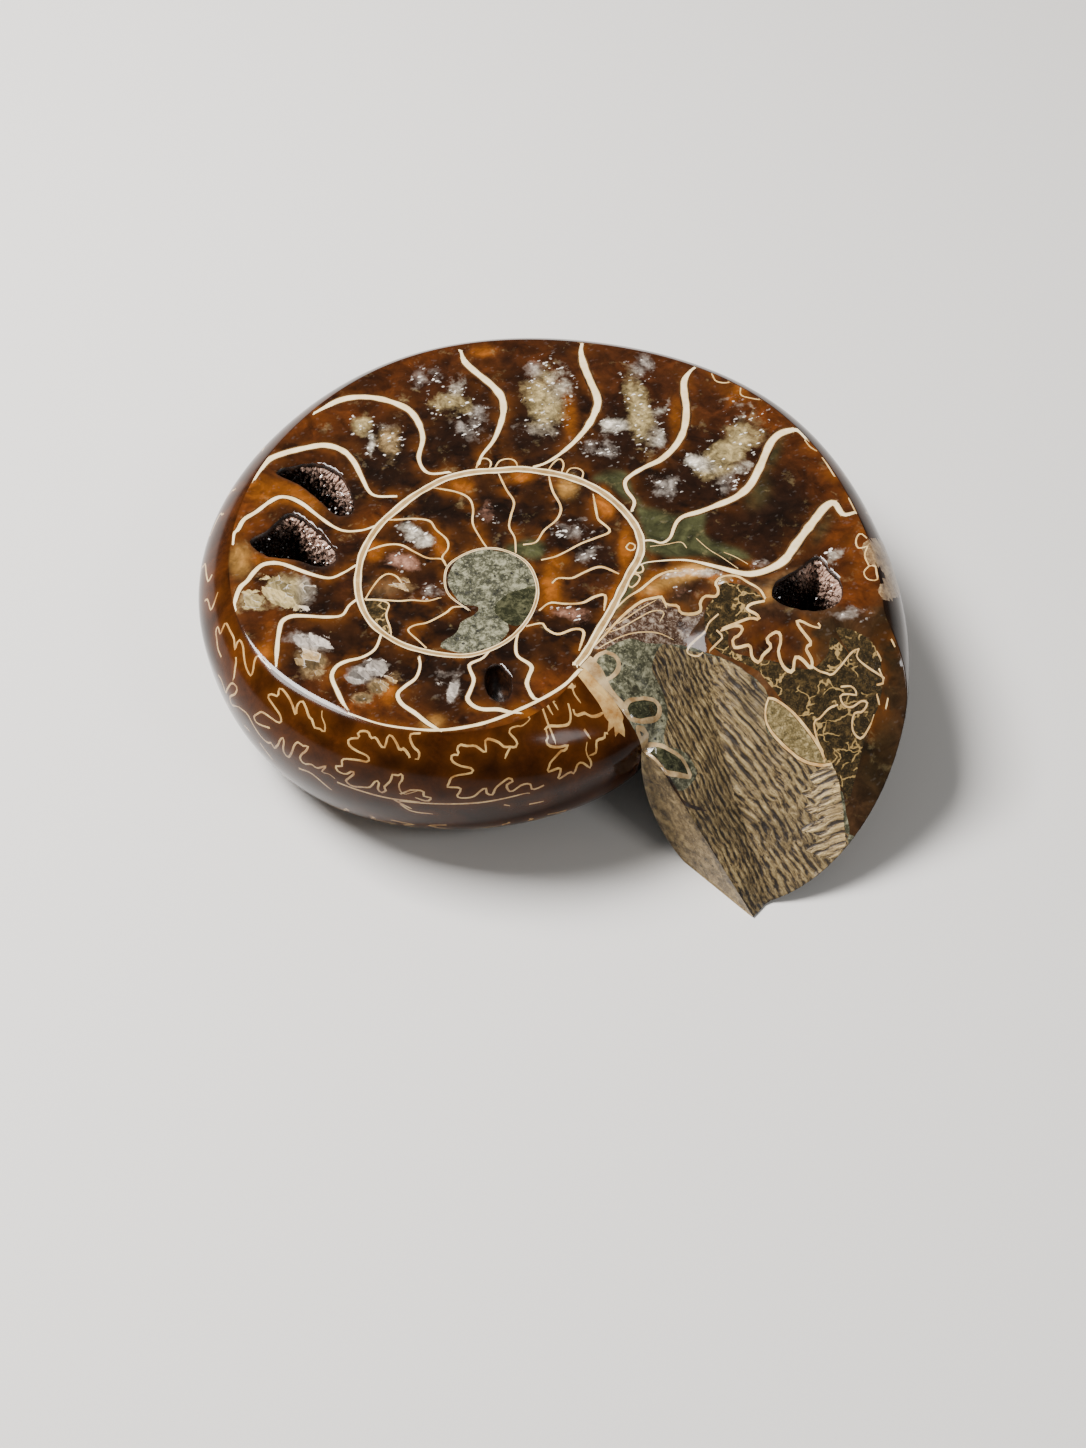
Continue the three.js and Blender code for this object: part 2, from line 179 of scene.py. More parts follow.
# Edges of the partitions where they meet the shell wall, on the near side of the band
SUTURES = [
    [(205, 601), (207, 599), (209, 603), (211, 610), (214, 603), (218, 592)],
    [(221, 657), (218, 649), (217, 640), (216, 631), (218, 627), (220, 634), (223, 628), (226, 623),
     (230, 631), (234, 639), (235, 650), (237, 643), (240, 640), (243, 647), (244, 657), (246, 668),
     (251, 676), (253, 670), (254, 662), (257, 655), (262, 659), (267, 665), (270, 668)],
    [(236, 657), (236, 663), (234, 676), (233, 680)],
    [(218, 675), (221, 679), (224, 688), (226, 693), (228, 688), (232, 683), (237, 688), (235, 694),
     (230, 697), (232, 705), (239, 707)],
    [(270, 728), (257, 723), (254, 717), (257, 714), (262, 712), (270, 717), (277, 722), (281, 722),
     (280, 715), (273, 705), (268, 697), (270, 694), (274, 695), (278, 696), (279, 689), (282, 689),
     (288, 696), (292, 705), (296, 715), (297, 706), (302, 701), (306, 708), (309, 717), (312, 720),
     (315, 728), (319, 728), (324, 732), (325, 725), (322, 717), (322, 711)],
    [(239, 707), (248, 715), (257, 732), (267, 742), (271, 743), (274, 748), (278, 745), (280, 740),
     (283, 738), (284, 743), (283, 749), (285, 754), (289, 757), (292, 752), (294, 746), (298, 742),
     (303, 746), (308, 746), (306, 751), (302, 754), (300, 758), (304, 764), (311, 764), (317, 768),
     (326, 766), (322, 772), (329, 774), (335, 779)],
    [(410, 758), (408, 753), (403, 748), (400, 751), (397, 744), (392, 736), (388, 736), (386, 743),
     (384, 748), (380, 745), (376, 738), (371, 738), (368, 732), (362, 731), (358, 733), (359, 738),
     (352, 738), (348, 741), (350, 746), (357, 751), (366, 755), (369, 759), (367, 762), (358, 760),
     (343, 759), (342, 766), (336, 766), (338, 771), (346, 774), (352, 771), (354, 774), (349, 778),
     (346, 781), (352, 786), (363, 787), (370, 787), (376, 781), (379, 783), (378, 789), (381, 793),
     (386, 790), (384, 787), (390, 781), (393, 774), (397, 776), (402, 774), (402, 780), (399, 784),
     (400, 790), (404, 794), (410, 793), (420, 790)],
    [(400, 794), (408, 791), (412, 790), (423, 791), (424, 796), (431, 798), (427, 801), (415, 798)],
    [(544, 785), (538, 788), (532, 789), (530, 784), (522, 785), (513, 791), (509, 791), (507, 785),
     (513, 781), (509, 778), (503, 782), (496, 788), (492, 795), (487, 793), (486, 788), (480, 791),
     (473, 797), (461, 798), (457, 796), (459, 793), (460, 788), (447, 787), (449, 784), (451, 778),
     (457, 775), (467, 774), (473, 772), (471, 768), (461, 766), (453, 762), (451, 757), (453, 755),
     (459, 755), (457, 749), (460, 745), (467, 746), (475, 746), (481, 750), (486, 752), (485, 741),
     (489, 739), (498, 742), (504, 747), (510, 747), (515, 747), (517, 743), (514, 738), (509, 732),
     (511, 728), (518, 726), (522, 726), (530, 719), (527, 714)],
    [(510, 748), (507, 753), (505, 759)],
    [(546, 729), (548, 738), (546, 742), (550, 746), (559, 747), (568, 745), (565, 750), (561, 751),
     (551, 762), (549, 767), (548, 772), (559, 768), (561, 771), (558, 779), (565, 775), (570, 772),
     (574, 773), (578, 764), (584, 763), (590, 768), (591, 761), (588, 757), (586, 750), (587, 742)],
    [(608, 733), (605, 733), (604, 738), (597, 741), (596, 752), (590, 755)],
    [(584, 729), (591, 739)],
    [(540, 704), (547, 721), (555, 742)],
    [(566, 678), (574, 693), (581, 703)],
    [(562, 680), (567, 686), (576, 687)],
    [(545, 703), (553, 715)],
    [(550, 697), (558, 710)],
    [(568, 703), (571, 715), (569, 724), (559, 726), (549, 726), (544, 730)],
    [(573, 709), (576, 715), (585, 713), (590, 716), (597, 716), (604, 712)],
    [(420, 733), (411, 734), (410, 739), (414, 747), (419, 752), (418, 759), (415, 759)],
    [(400, 749), (405, 750), (409, 756)],
    [(337, 782), (358, 790), (389, 798), (420, 802)],
    [(400, 801), (446, 804), (484, 802), (522, 794), (530, 793)],
    [(299, 768), (312, 774), (332, 790)],
    [(395, 800), (412, 809)],
    [(400, 804), (412, 811), (433, 814)],
    [(504, 805), (510, 806)],
    [(529, 804), (544, 801)],
    [(227, 702), (230, 707)],
    [(244, 725), (250, 731)],
    [(260, 743), (273, 760)],
]

# The same edges on the polished slope at the right
LOBES = [
    [(765, 601), (752, 604), (746, 609), (757, 614), (759, 619), (750, 618), (732, 625), (721, 630),
     (734, 626), (743, 628), (739, 635), (733, 639), (734, 647), (741, 647), (750, 646), (752, 657),
     (759, 662), (763, 655), (771, 647), (767, 639), (775, 632), (780, 635), (780, 644), (778, 651),
     (781, 662), (786, 669), (793, 671), (795, 658), (802, 660), (811, 668), (812, 660), (806, 648),
     (811, 644), (807, 637), (800, 628), (797, 621), (802, 621), (811, 626), (820, 628), (818, 623)],
    [(765, 598), (759, 589), (748, 582), (737, 576), (723, 576), (715, 583), (718, 589), (716, 596),
     (705, 596), (700, 603), (701, 610), (696, 614), (687, 614), (680, 612), (678, 606), (669, 605),
     (664, 602), (661, 596)],
    [(812, 666), (820, 671), (827, 673), (832, 675), (841, 666), (852, 653), (859, 648)],
    [(841, 687), (852, 687), (857, 694), (848, 694), (840, 696), (844, 705), (852, 707), (861, 701),
     (868, 703), (863, 712), (854, 714), (852, 730), (861, 739), (870, 725), (874, 714)],
    [(823, 752), (818, 741), (814, 723), (820, 718), (829, 709), (838, 705)],
    [(718, 614), (709, 623), (705, 632), (696, 639), (689, 646), (687, 653), (696, 657), (703, 653)],
    [(716, 630), (723, 637), (718, 642), (709, 651)],
    [(859, 648), (857, 657), (866, 666), (877, 673), (884, 678)],
    [(877, 694), (879, 705)],
    [(888, 698), (886, 709)],
    [(891, 639), (895, 647)],
    [(877, 651), (881, 660)],
    [(879, 669), (884, 682), (877, 685)],
]

# Small folds of the partitions at the rim of the face
RIM_LOOPS = [
    [(712, 372), (716, 381), (724, 383), (731, 380)],
    [(741, 386), (741, 395), (750, 398), (760, 399)],
    [(805, 440), (810, 447), (819, 450)],
    [(825, 454), (829, 466), (834, 476)],
    [(871, 536), (860, 533), (856, 540), (858, 548), (868, 546)],
    [(869, 566), (864, 572), (868, 579), (877, 580), (880, 572), (875, 566), (869, 566)],
    [(868, 546), (865, 555), (869, 566)],
    [(882, 497), (877, 483)],
]

# Small shells and shell fragments cut through in the mouth, cream in the stone
SHELL_RINGS = [
    [(606, 652), (597, 656), (594, 665), (597, 674), (606, 679), (615, 674), (619, 665), (615, 656),
     (606, 652)],
    [(644, 698), (630, 700), (625, 709), (630, 718), (643, 722), (656, 718), (660, 709), (655, 701),
     (644, 698)],
    [(632, 746), (651, 745), (666, 748), (682, 759), (690, 774), (685, 776), (660, 775), (642, 772),
     (630, 764), (632, 746)],
    [(637, 729), (630, 734), (632, 741), (642, 742), (647, 735), (644, 730), (637, 729)],
    [(768, 698), (766, 709), (767, 723), (777, 739), (800, 759), (820, 765), (832, 764)],
    [(768, 698), (777, 700), (793, 712), (809, 732), (820, 748), (825, 759)],
]

# Where the polish ends and the rough stone of the mouth begins
ROUGH_EDGE = [(628, 639), (646, 643), (666, 644), (687, 646), (705, 652), (732, 662), (748, 673), (759, 682),
    (767, 694)]

# The band of pale, spongy calcite beside the nose
SPONGY = [(585, 648), (601, 628), (628, 612), (660, 597), (669, 606), (696, 614), (705, 612), (689, 635),
    (682, 646), (646, 643), (628, 639), (610, 648), (594, 649)]

# Olive stone that fills the inner corners of the chambers
GREEN_RIGHT = [(645, 539), (636, 509), (633, 495), (643, 507), (660, 512), (684, 514), (707, 508),
    (705, 529), (712, 540), (739, 548), (750, 560), (731, 560), (707, 557), (674, 557), (645, 550)]
GREEN_TOP = [(595, 478), (624, 471), (631, 485), (633, 502), (617, 493), (605, 483)]

# The olive, speckled part of the slope
SPECKLE = [(705, 612), (718, 592), (723, 583), (748, 587), (764, 601), (748, 609), (757, 617), (734, 626),
    (728, 635), (732, 651), (752, 657), (777, 662), (809, 669), (827, 655), (832, 637), (850, 655),
    (861, 687), (836, 705), (816, 723), (823, 752), (838, 771), (832, 782), (809, 737), (786, 705),
    (771, 687), (755, 669), (718, 651), (707, 635)]

# Zones of the polished surface
CENTRE_STONE = [(448, 578), (456, 561), (473, 551), (498, 551), (519, 557), (534, 570), (536, 588),
    (524, 598), (505, 600), (500, 612), (509, 628), (500, 642), (490, 649), (478, 653), (455, 652),
    (440, 646), (447, 639), (457, 632), (461, 622), (474, 615), (478, 607), (463, 604), (452, 592)]
DARK_POCKET = [(494, 607), (507, 594), (520, 590), (536, 586), (538, 603), (528, 620), (514, 626),
    (500, 618)]
WALL_OLIVE = [(640, 556), (649, 560), (643, 573), (637, 585), (627, 601), (617, 613), (609, 618), (617, 601),
    (628, 582), (636, 566)]
OLIVE_CORNER = [(366, 601), (377, 601), (388, 605), (386, 615), (389, 628), (392, 637), (380, 630),
    (369, 616)]
SMALL_GREEN = [(505, 548), (520, 541), (536, 540), (545, 548), (540, 558), (522, 556), (508, 553)]
RIM_SCAR = [(862, 546), (870, 540), (884, 541), (894, 549), (899, 562), (904, 580), (900, 594), (889, 600),
    (878, 592), (884, 578), (880, 568), (868, 562)]
TAN_STONE = [(662, 645), (685, 650), (726, 660), (755, 680), (767, 694), (767, 733), (800, 752), (825, 765),
    (836, 785), (842, 812), (846, 955), (560, 955), (560, 800), (628, 784), (652, 790), (684, 789),
    (697, 772), (684, 752), (664, 742), (668, 715), (662, 690), (652, 668)]
RIGHT_OLIVE = [(836, 628), (868, 638), (882, 668), (880, 700), (864, 742), (856, 775), (848, 800),
    (838, 780), (823, 752), (816, 723), (836, 705), (858, 687), (850, 655)]
LEAF = [(768, 698), (777, 700), (793, 712), (809, 732), (820, 748), (828, 764), (812, 762), (790, 750),
    (777, 739), (767, 723), (766, 709)]
WALL_LOOPS = [
    [(476, 468), (479, 460), (486, 458), (491, 463), (489, 469)],
    [(495, 467), (499, 461), (508, 459), (515, 461), (518, 467)],
    [(548, 471), (553, 463), (560, 459), (564, 464), (562, 472)],
    [(565, 476), (569, 469), (577, 468), (583, 472), (582, 480)],
    [(626, 547), (630, 543), (635, 545), (634, 549), (629, 550), (626, 547)],
    [(633, 569), (636, 564), (642, 565), (643, 571), (637, 573), (633, 569)],
    [(628, 584), (630, 577), (635, 574), (640, 577), (637, 583), (631, 587), (628, 584)],
]
NOSE_RIDGE = [(584, 660), (596, 672), (607, 690), (617, 706), (620, 722)]
NOSE_FLANGE = [(578, 663), (590, 678), (603, 697), (612, 712), (617, 726)]
MOUTH_CRACK = [(626, 787), (642, 796), (660, 799), (676, 805), (692, 806), (706, 811)]
NEEDLES = [
    [(696, 538), (709, 549), (722, 557), (738, 568)],
    [(650, 547), (666, 544), (681, 542), (687, 548)],
    [(724, 552), (736, 557), (748, 564)],
]
SPONGY_EDGES = [
    [(616, 608), (628, 597), (640, 590), (648, 583), (658, 576), (670, 571), (682, 571)],
    [(592, 649), (608, 632), (622, 616), (640, 602), (654, 598), (662, 597), (666, 606)],
]
SPONGY_LINES = [
    [(590, 646), (603, 632), (624, 620), (640, 609), (656, 600)],
    [(597, 649), (611, 641), (628, 634), (645, 632), (660, 634), (674, 640)],
    [(606, 633), (620, 628), (636, 619), (652, 611), (664, 612), (660, 622)],
]
# The pale line along the near rim of the face: partly the shell wall cut through, partly a painted highlight
# on the rim
RIM_WALL_AND_HIGHLIGHT = [(347, 715), (380, 724), (415, 729), (441, 730), (465, 727), (490, 721), (520, 709), (545, 697),
    (565, 684), (580, 670)]

# Pale fibres across the right edge of the mouth
FRINGE = [(828, 765), (836, 772), (841, 795), (844, 825), (846, 862), (828, 858), (806, 850), (821, 838),
    (799, 829), (818, 819), (803, 808), (820, 801), (800, 792), (817, 786), (809, 777)]

# Colour of the calcite: place, reach across and down in pixels, turn in degrees, colour, strength
TINTS = [
    ((700, 395), (60, 40), -30, "brown", 0.6),
    ((600, 375), (30, 30), 0, "brown", 0.5),
    ((570, 417), (8, 26), 10, "orange", 0.6),
    ((677, 425), (7, 26), 5, "orange", 0.6),
    ((765, 418), (24, 15), -40, "amber", 0.9),
    ((737, 392), (14, 12), 0, "orange", 0.5),
    ((482, 352), (14, 6), 10, "orange", 0.7),
    ((440, 372), (40, 14), 15, "brown", 0.7),
    ((780, 500), (34, 34), 0, "dark", 0.8),
    ((772, 455), (7, 26), -25, "olive", 0.9),
    ((757, 492), (12, 16), -30, "olive", 0.8),
    ((790, 530), (30, 22), 30, "dark", 0.8),
    ((824, 528), (7, 18), -35, "olive", 0.8),
    ((848, 536), (22, 22), 0, "amber", 0.8),
    ((866, 590), (18, 26), 0, "amber", 0.7),
    ((262, 490), (22, 13), -15, "orange", 0.8),
    ((300, 497), (28, 12), -25, "orange", 0.65),
    ((240, 505), (10, 16), 20, "amber", 0.8),
    ((250, 470), (26, 9), 30, "amber", 0.6),
    ((240, 560), (11, 14), 0, "gold", 0.8),
    ((268, 560), (24, 6), 0, "orange", 0.5),
    ((340, 545), (16, 10), 0, "brown", 0.8),
    ((372, 520), (22, 14), 30, "amber", 0.7),
    ((395, 470), (34, 26), 0, "dark", 0.7),
    ((265, 652), (9, 9), 0, "orange", 1.0),
    ((270, 625), (10, 24), 0, "amber", 0.8),
    ((245, 612), (16, 16), 0, "brown", 0.8),
    ((345, 590), (10, 26), 0, "brown", 0.7),
    ((300, 690), (30, 12), 30, "brown", 0.8),
    ((388, 692), (9, 12), 0, "orange", 0.9),
    ((365, 705), (24, 9), 15, "amber", 0.9),
    ((346, 685), (7, 20), 0, "amber", 0.7),
    ((432, 724), (12, 7), 20, "gold", 0.8),
    ((445, 678), (26, 34), 0, "dark", 0.7),
    ((505, 680), (26, 16), 0, "dark", 0.5),
    ((548, 690), (16, 20), 0, "amber", 0.6),
    ((530, 715), (16, 7), -20, "orange", 0.6),
    ((460, 487), (13, 9), 0, "orange", 1.0),
    ((520, 477), (16, 7), 10, "orange", 1.0),
    ((567, 486), (9, 11), 0, "gold", 0.9),
    ((605, 503), (10, 15), 20, "orange", 1.0),
    ((626, 550), (7, 24), 0, "orange", 1.0),
    ((615, 600), (8, 20), -20, "orange", 0.9),
    ((550, 588), (10, 24), 0, "orange", 1.0),
    ((560, 560), (10, 9), 0, "orange", 0.6),
    ((590, 585), (20, 10), 0, "brown", 0.7),
    ((440, 545), (9, 16), 20, "orange", 0.8),
    ((375, 552), (9, 10), 0, "orange", 0.9),
    ((385, 588), (16, 9), 0, "tan", 0.6),
    ((400, 610), (26, 22), 0, "dark", 0.7),
    ((425, 590), (16, 12), 0, "brown", 0.6),
    ((435, 505), (24, 20), 0, "dark", 0.6),
    ((495, 505), (20, 20), 0, "dark", 0.5),
    ((540, 500), (14, 20), 0, "dark", 0.4),
    ((655, 588), (20, 14), 35, "orange", 1.0),
    ((668, 580), (26, 8), 25, "gold", 0.9),
    ((690, 572), (22, 7), 10, "gold", 1.0),
    ((722, 578), (20, 6), 0, "orange", 0.8),
    ((700, 592), (14, 12), 0, "brown", 0.8),
    ((640, 608), (22, 7), 40, "brown", 0.8),
    ((785, 582), (30, 9), 20, "tan", 0.7),
    ((775, 640), (40, 32), 0, "russet", 1.0),
    ((745, 640), (14, 20), 0, "brown", 0.6),
    ((830, 640), (30, 24), 0, "umber", 0.8),
    ((852, 695), (12, 12), 0, "amber", 0.9),
    ((885, 650), (20, 60), 0, "umber", 0.9),
    ((870, 740), (30, 70), 10, "umber", 1.0),
    ((850, 598), (18, 10), 0, "amber", 0.9),
    ((775, 592), (22, 6), 25, "gold", 0.7),
]

# Milky clouds in the calcite, listed the same way; two entries are painted reflections on the polish, not
# clouds
CLOUDS_AND_REFLECTIONS = [
    ((732, 448), (40, 17), 42, "cream", 1.0),
    ((700, 463), (18, 7), -20, "white", 0.9),
    ((744, 468), (12, 8), 20, "white", 0.5),
    ((737, 410), (11, 9), 0, "white", 0.5),
    ((666, 486), (16, 12), 0, "silver", 0.5),
    ((727, 482), (15, 9), 20, "silver", 0.5),
    ((640, 412), (13, 38), 15, "cream", 0.95),
    ((613, 425), (13, 8), 0, "white", 0.8),
    ((656, 438), (10, 12), 0, "white", 0.8),
    ((642, 367), (12, 14), 0, "silver", 0.55),
    ((660, 412), (9, 9), 0, "white", 0.5),
    ((600, 448), (22, 12), -20, "silver", 0.4),
    ((546, 402), (20, 34), 0, "cream", 1.0),
    ((560, 385), (14, 18), 0, "white", 0.6),
    ((545, 430), (22, 9), 0, "silver", 0.6),
    ((533, 370), (11, 10), 0, "silver", 0.7),
    ((452, 402), (22, 15), 0, "cream", 0.7),
    ((456, 388), (14, 8), 0, "white", 0.6),
    ((466, 428), (18, 10), 0, "silver", 0.5),
    ((427, 376), (16, 8), 0, "silver", 0.55),
    ((479, 410), (7, 10), 0, "silver", 0.5),
    ((362, 424), (12, 12), 0, "cream", 0.8),
    ((390, 440), (13, 17), 0, "beige", 0.95),
    ((371, 446), (4, 13), 0, "white", 0.9),
    ((385, 425), (10, 5), 0, "white", 0.5),
    ((417, 536), (18, 8), -28, "white", 0.9),
    ((405, 562), (17, 8), -20, "rose", 0.9),
    ((573, 530), (17, 9), 0, "silver", 0.6),
    ((590, 555), (14, 6), 35, "silver", 0.5),
    ((572, 613), (20, 6), -5, "rose", 0.9),
    ((488, 515), (9, 12), 0, "rose", 0.4),
    ((680, 573), (14, 4), 12, "white", 0.8),
    ((704, 573), (14, 4), 0, "white", 1.0),
    ((722, 580), (12, 5), 10, "cream", 0.8),
    # Painted reflection: a pink glare on the polish, painted as a faint rose cloud
    ((680, 592), (9, 10), 0, "rose", 0.35),
    ((431, 590), (12, 7), 30, "silver", 0.5),
    ((832, 556), (14, 8), 30, "white", 0.6),
    ((770, 566), (16, 5), 0, "silver", 0.5),
    # Painted highlight: a pale sheen on the polished slope, painted as a silver cloud
    ((850, 614), (16, 7), 0, "silver", 0.5),
]

# Clusters of broken, bright facets, listed the same way
SHARDS = [
    ((287, 590), (24, 17), 0, "cream", 1.0),
    ((252, 600), (17, 11), 0, "cream", 0.6),
    ((306, 590), (11, 17), 0, "silver", 0.75),
    ((310, 643), (20, 8), -15, "silver", 1.0),
    ((312, 662), (18, 15), -20, "beige", 0.9),
    ((357, 676), (13, 9), 0, "silver", 1.0),
    ((377, 668), (12, 9), 0, "silver", 0.9),
    ((362, 698), (13, 6), 0, "beige", 1.0),
    ((377, 688), (12, 9), 0, "beige", 0.8),
    ((393, 676), (8, 8), 0, "beige", 0.5),
    ((453, 690), (5, 17), -15, "silver", 0.9),
    ((442, 680), (14, 10), 0, "silver", 0.3),
    ((400, 583), (18, 8), -10, "beige", 0.5),
]

# Dark olive stone that shades softly into the calcite
SOFT_ZONES = [GREEN_RIGHT, GREEN_TOP, SMALL_GREEN, WALL_OLIVE]


# Shape

def spline(p0, p1, p2, p3, t):
    """A smooth curve from p1 to p2 as t goes from 0 to 1."""
    return 0.5 * (2 * p1 + (p2 - p0) * t + (2 * p0 - 5 * p1 + 4 * p2 - p3) * t ** 2
                  + (3 * p1 - p0 - 3 * p2 + p3) * t ** 3)


def along(values, angle):
    """A smooth value between the entries of a list, one for each 30 degrees from the mouth inward."""
    angle = np.asarray(angle, float)
    turns = np.maximum(np.floor((angle - MOUTH) / TURN - 1e-9), 0)
    place = (angle - turns * TURN - MOUTH) / STEP
    last = len(values) - 1
    index = np.clip(np.floor(place), 0, last - 1).astype(int)
    table = np.array(values)
    p0, p1, p2, p3 = (table[np.clip(index + k, 0, last)] for k in (-1, 0, 1, 2))
    return spline(p0, p1, p2, p3, place - index) / RATIO ** turns


def half_thickness(angle):
    angle = np.asarray(angle, float)
    beyond = np.maximum(angle - MOUTH - TURN, 0)
    return along(HALF, np.minimum(angle, MOUTH + TURN)) / RATIO ** (beyond / TURN)


def section(angle, s):
    """Radius and height on the whorl's outline: s is 0 at the face, 1 at the keel, 3 at the inner groove."""
    keel = along(KEEL, angle)
    edge = along(EDGE, angle)
    inner = along(KEEL, np.asarray(angle) + TURN)
    face_turn = math.acos(FACE / UPPER_HALF)
    bulge = (keel - edge) / (1 - math.sin(face_turn))
    turn = face_turn + np.minimum(s, 1) * (math.pi / 2 - face_turn)
    below = np.clip((np.asarray(s) - 1) * math.pi / 2, 0, math.pi)
    across = np.sign(np.cos(below)) * np.abs(np.cos(below)) ** (2 / POWER)
    down = np.sin(below) ** (2 / POWER)
    radius = np.where(np.asarray(s) <= 1, keel - bulge * (1 - np.sin(turn)),
                      (keel + inner) / 2 + (keel - inner) / 2 * across)
    height = np.where(np.asarray(s) <= 1, UPPER_HALF * np.cos(turn), -half_thickness(angle) * down)
    return radius, np.maximum(height, -REST)


def on_coil(angle, radius, height):
    turn = np.radians(angle)
    height = np.broadcast_to(height, np.shape(radius))
    return np.stack([radius * np.cos(turn), radius * np.sin(turn), height], -1)


def cross(u, v):
    """Twice the area between flat vectors, above 0 where the second lies counter-clockwise."""
    return u[..., 0] * v[..., 1] - u[..., 1] * v[..., 0]


def inside(points, loop):
    """Which points lie inside a closed loop."""
    x, y = points[:, 0], points[:, 1]
    found = np.zeros(len(points), bool)
    ends = np.asarray(loop, float)
    for (x0, y0), (x1, y1) in zip(ends, np.roll(ends, -1, 0)):
        if y0 == y1:
            continue
        crossing = (y0 > y) != (y1 > y)
        found ^= crossing & (x < (x1 - x0) * (y - y0) / (y1 - y0) + x0)
    return found


def gap_to(points, a, b):
    """Distance from each point to the straight stretch from a to b."""
    share = np.clip(((points - a) @ (b - a)) / max((b - a) @ (b - a), TINY), 0, 1)
    nearest = a + share[:, None] * (b - a)
    return np.hypot(*(points - nearest).T)


def distance_to(points, line):
    """Distance from each point to an open line."""
    ends = np.asarray(line, float)
    least = np.full(len(points), np.inf)
    for a, b in zip(ends[:-1], ends[1:]):
        least = np.minimum(least, gap_to(points, a, b))
    return least


def smooth_step(x, low, high):
    t = np.clip((x - low) / (high - low), 0, 1)
    return t * t * (3 - 2 * t)


def mouth_region():
    far = [on_coil(a, REACH, 0)[:2] for a in np.linspace(*MOUTH_ARC, 12)]
    return np.array(SHOULDER + [tuple(p) for p in far])


MOUTH_REGION = mouth_region()
NOSE_KEEL = float(along(KEEL, MOUTH + TURN))


def nose_flank(radius):
    """Height of the coil's inner end at the seam with the mouth."""
    rows = np.linspace(0, 1, 40)
    radii, heights = section(MOUTH + TURN, rows)
    return np.interp(radius, radii, heights)


def top_height(points):
    """Height of the polished surface: flat, then rolling down into the mouth past the shoulder."""
    height = np.full(len(points), FACE)
    in_mouth = inside(points, MOUTH_REGION)
    spot = points[in_mouth]
    fall = SLOPE * (np.hypot(distance_to(spot, SHOULDER), SLOPE_ROUNDING) - SLOPE_ROUNDING)
    lowered = FACE - fall
    radius = np.hypot(*spot.T)
    seam_distance = np.abs(radius * np.sin(np.arctan2(spot[:, 1], spot[:, 0]) - math.radians(MOUTH)))
    near_nose = 1 - smooth_step(seam_distance, 0, NOSE_BLEND)
    near_nose *= 1 - smooth_step(radius, NOSE_KEEL, NOSE_KEEL + NOSE_REACH)
    height[in_mouth] = lowered + near_nose * (nose_flank(radius) - lowered)
    return height


def meeting_point(angle):
    """Where down the whorl's outline the polished surface meets it."""
    low, high = 0.0, 2.2
    radius, height = section(angle, low)
    place = on_coil(angle, radius, 0)[None, :2]
    if height - top_height(place)[0] < 1e-6:
        return 0.0
    for _ in range(40):
        middle = (low + high) / 2
        radius, height = section(angle, middle)
        if height > top_height(on_coil(angle, radius, 0)[None, :2])[0]:
            low = middle
        else:
            high = middle
    return low


ANGLES = np.linspace(MOUTH, MOUTH + TURN, TURN + 1)
MEETINGS = np.array([meeting_point(a) for a in ANGLES])


# The photograph's camera

def camera_axes():
    pitch = math.radians(PITCH)
    forward = np.array([0, math.cos(pitch), -math.sin(pitch)])
    up = np.array([0, math.sin(pitch), math.cos(pitch)])
    return np.array([1.0, 0, 0]), up, forward


def to_photo(points):
    """Photograph pixels of points in space."""
    right, up, forward = camera_axes()
    offset = points - np.array(CAMERA)
    depth = offset @ forward
    return np.stack([PHOTO[0] / 2 + FOCAL_PX * (offset @ right) / depth,
                     PHOTO[1] / 2 - FOCAL_PX * (offset @ up) / depth], -1)


def top_surface(flat):
    return np.column_stack([flat, top_height(flat)])


def side_scale(s):
    """Way down the flat layout of the side for a place on the whorl's outline."""
    s = np.asarray(s, float)
    return np.where(s <= 1, ABOVE_KEEL * s, ABOVE_KEEL + BELOW_KEEL * (s - 1))


def side_unscale(v):
    """Place on the whorl's outline for a way down the flat layout of the side."""
    v = np.asarray(v, float)
    return np.where(v <= ABOVE_KEEL, v / ABOVE_KEEL, 1 + (v - ABOVE_KEEL) / BELOW_KEEL)


WAY_ROUND = np.concatenate([[0], np.cumsum(np.radians(1) * along(KEEL, ANGLES[:-1] + 0.5))])


def side_surface(flat):
    """Points in space of the flat layout of the side: the way round the coil, the way down the outline."""
    angle = np.interp(flat[:, 0], WAY_ROUND, ANGLES)
    radius, height = section(angle, side_unscale(flat[:, 1]))
    return on_coil(angle, radius, height)


class Finder:
    """Finds places in a flat layout for photograph pixels, from the nearest few of a fine grid."""

    step = 0.05
    nearest = 4
    softness = 0.2

    def __init__(self, flat, surface):
        here = surface(flat)
        across = surface(flat + (self.step, 0)) - here
        down = surface(flat + (0, self.step)) - here
        upward = np.cross(across, down)
        view = np.array(CAMERA) - here
        facing = np.einsum("ij,ij->i", upward * self.side, view) > 0
        self.flat = flat[facing]
        pixels = to_photo(here[facing])
        self.tree = kdtree.KDTree(len(pixels))
        for i, (x, y) in enumerate(pixels):
            self.tree.insert((x, y, 0), i)
        self.tree.balance()

    def __call__(self, pixels):
        places = []
        for x, y in pixels:
            near = self.tree.find_n((x, y, 0), self.nearest)
            weight = np.array([1 / (distance + self.softness) for _, _, distance in near])
            places.append(weight @ self.flat[[index for _, index, _ in near]] / weight.sum())
        return np.array(places)


class TopFinder(Finder):
    """Finds places on the polished surface."""

    side = 1
    spacing = 0.22

    def __init__(self, border):
        low, high = border.min(0), border.max(0)
        xs, ys = np.meshgrid(*(np.arange(low[k], high[k], self.spacing) for k in (0, 1)))
        flat = np.column_stack([xs.ravel(), ys.ravel()])
        super().__init__(flat[inside(flat, border)], top_surface)


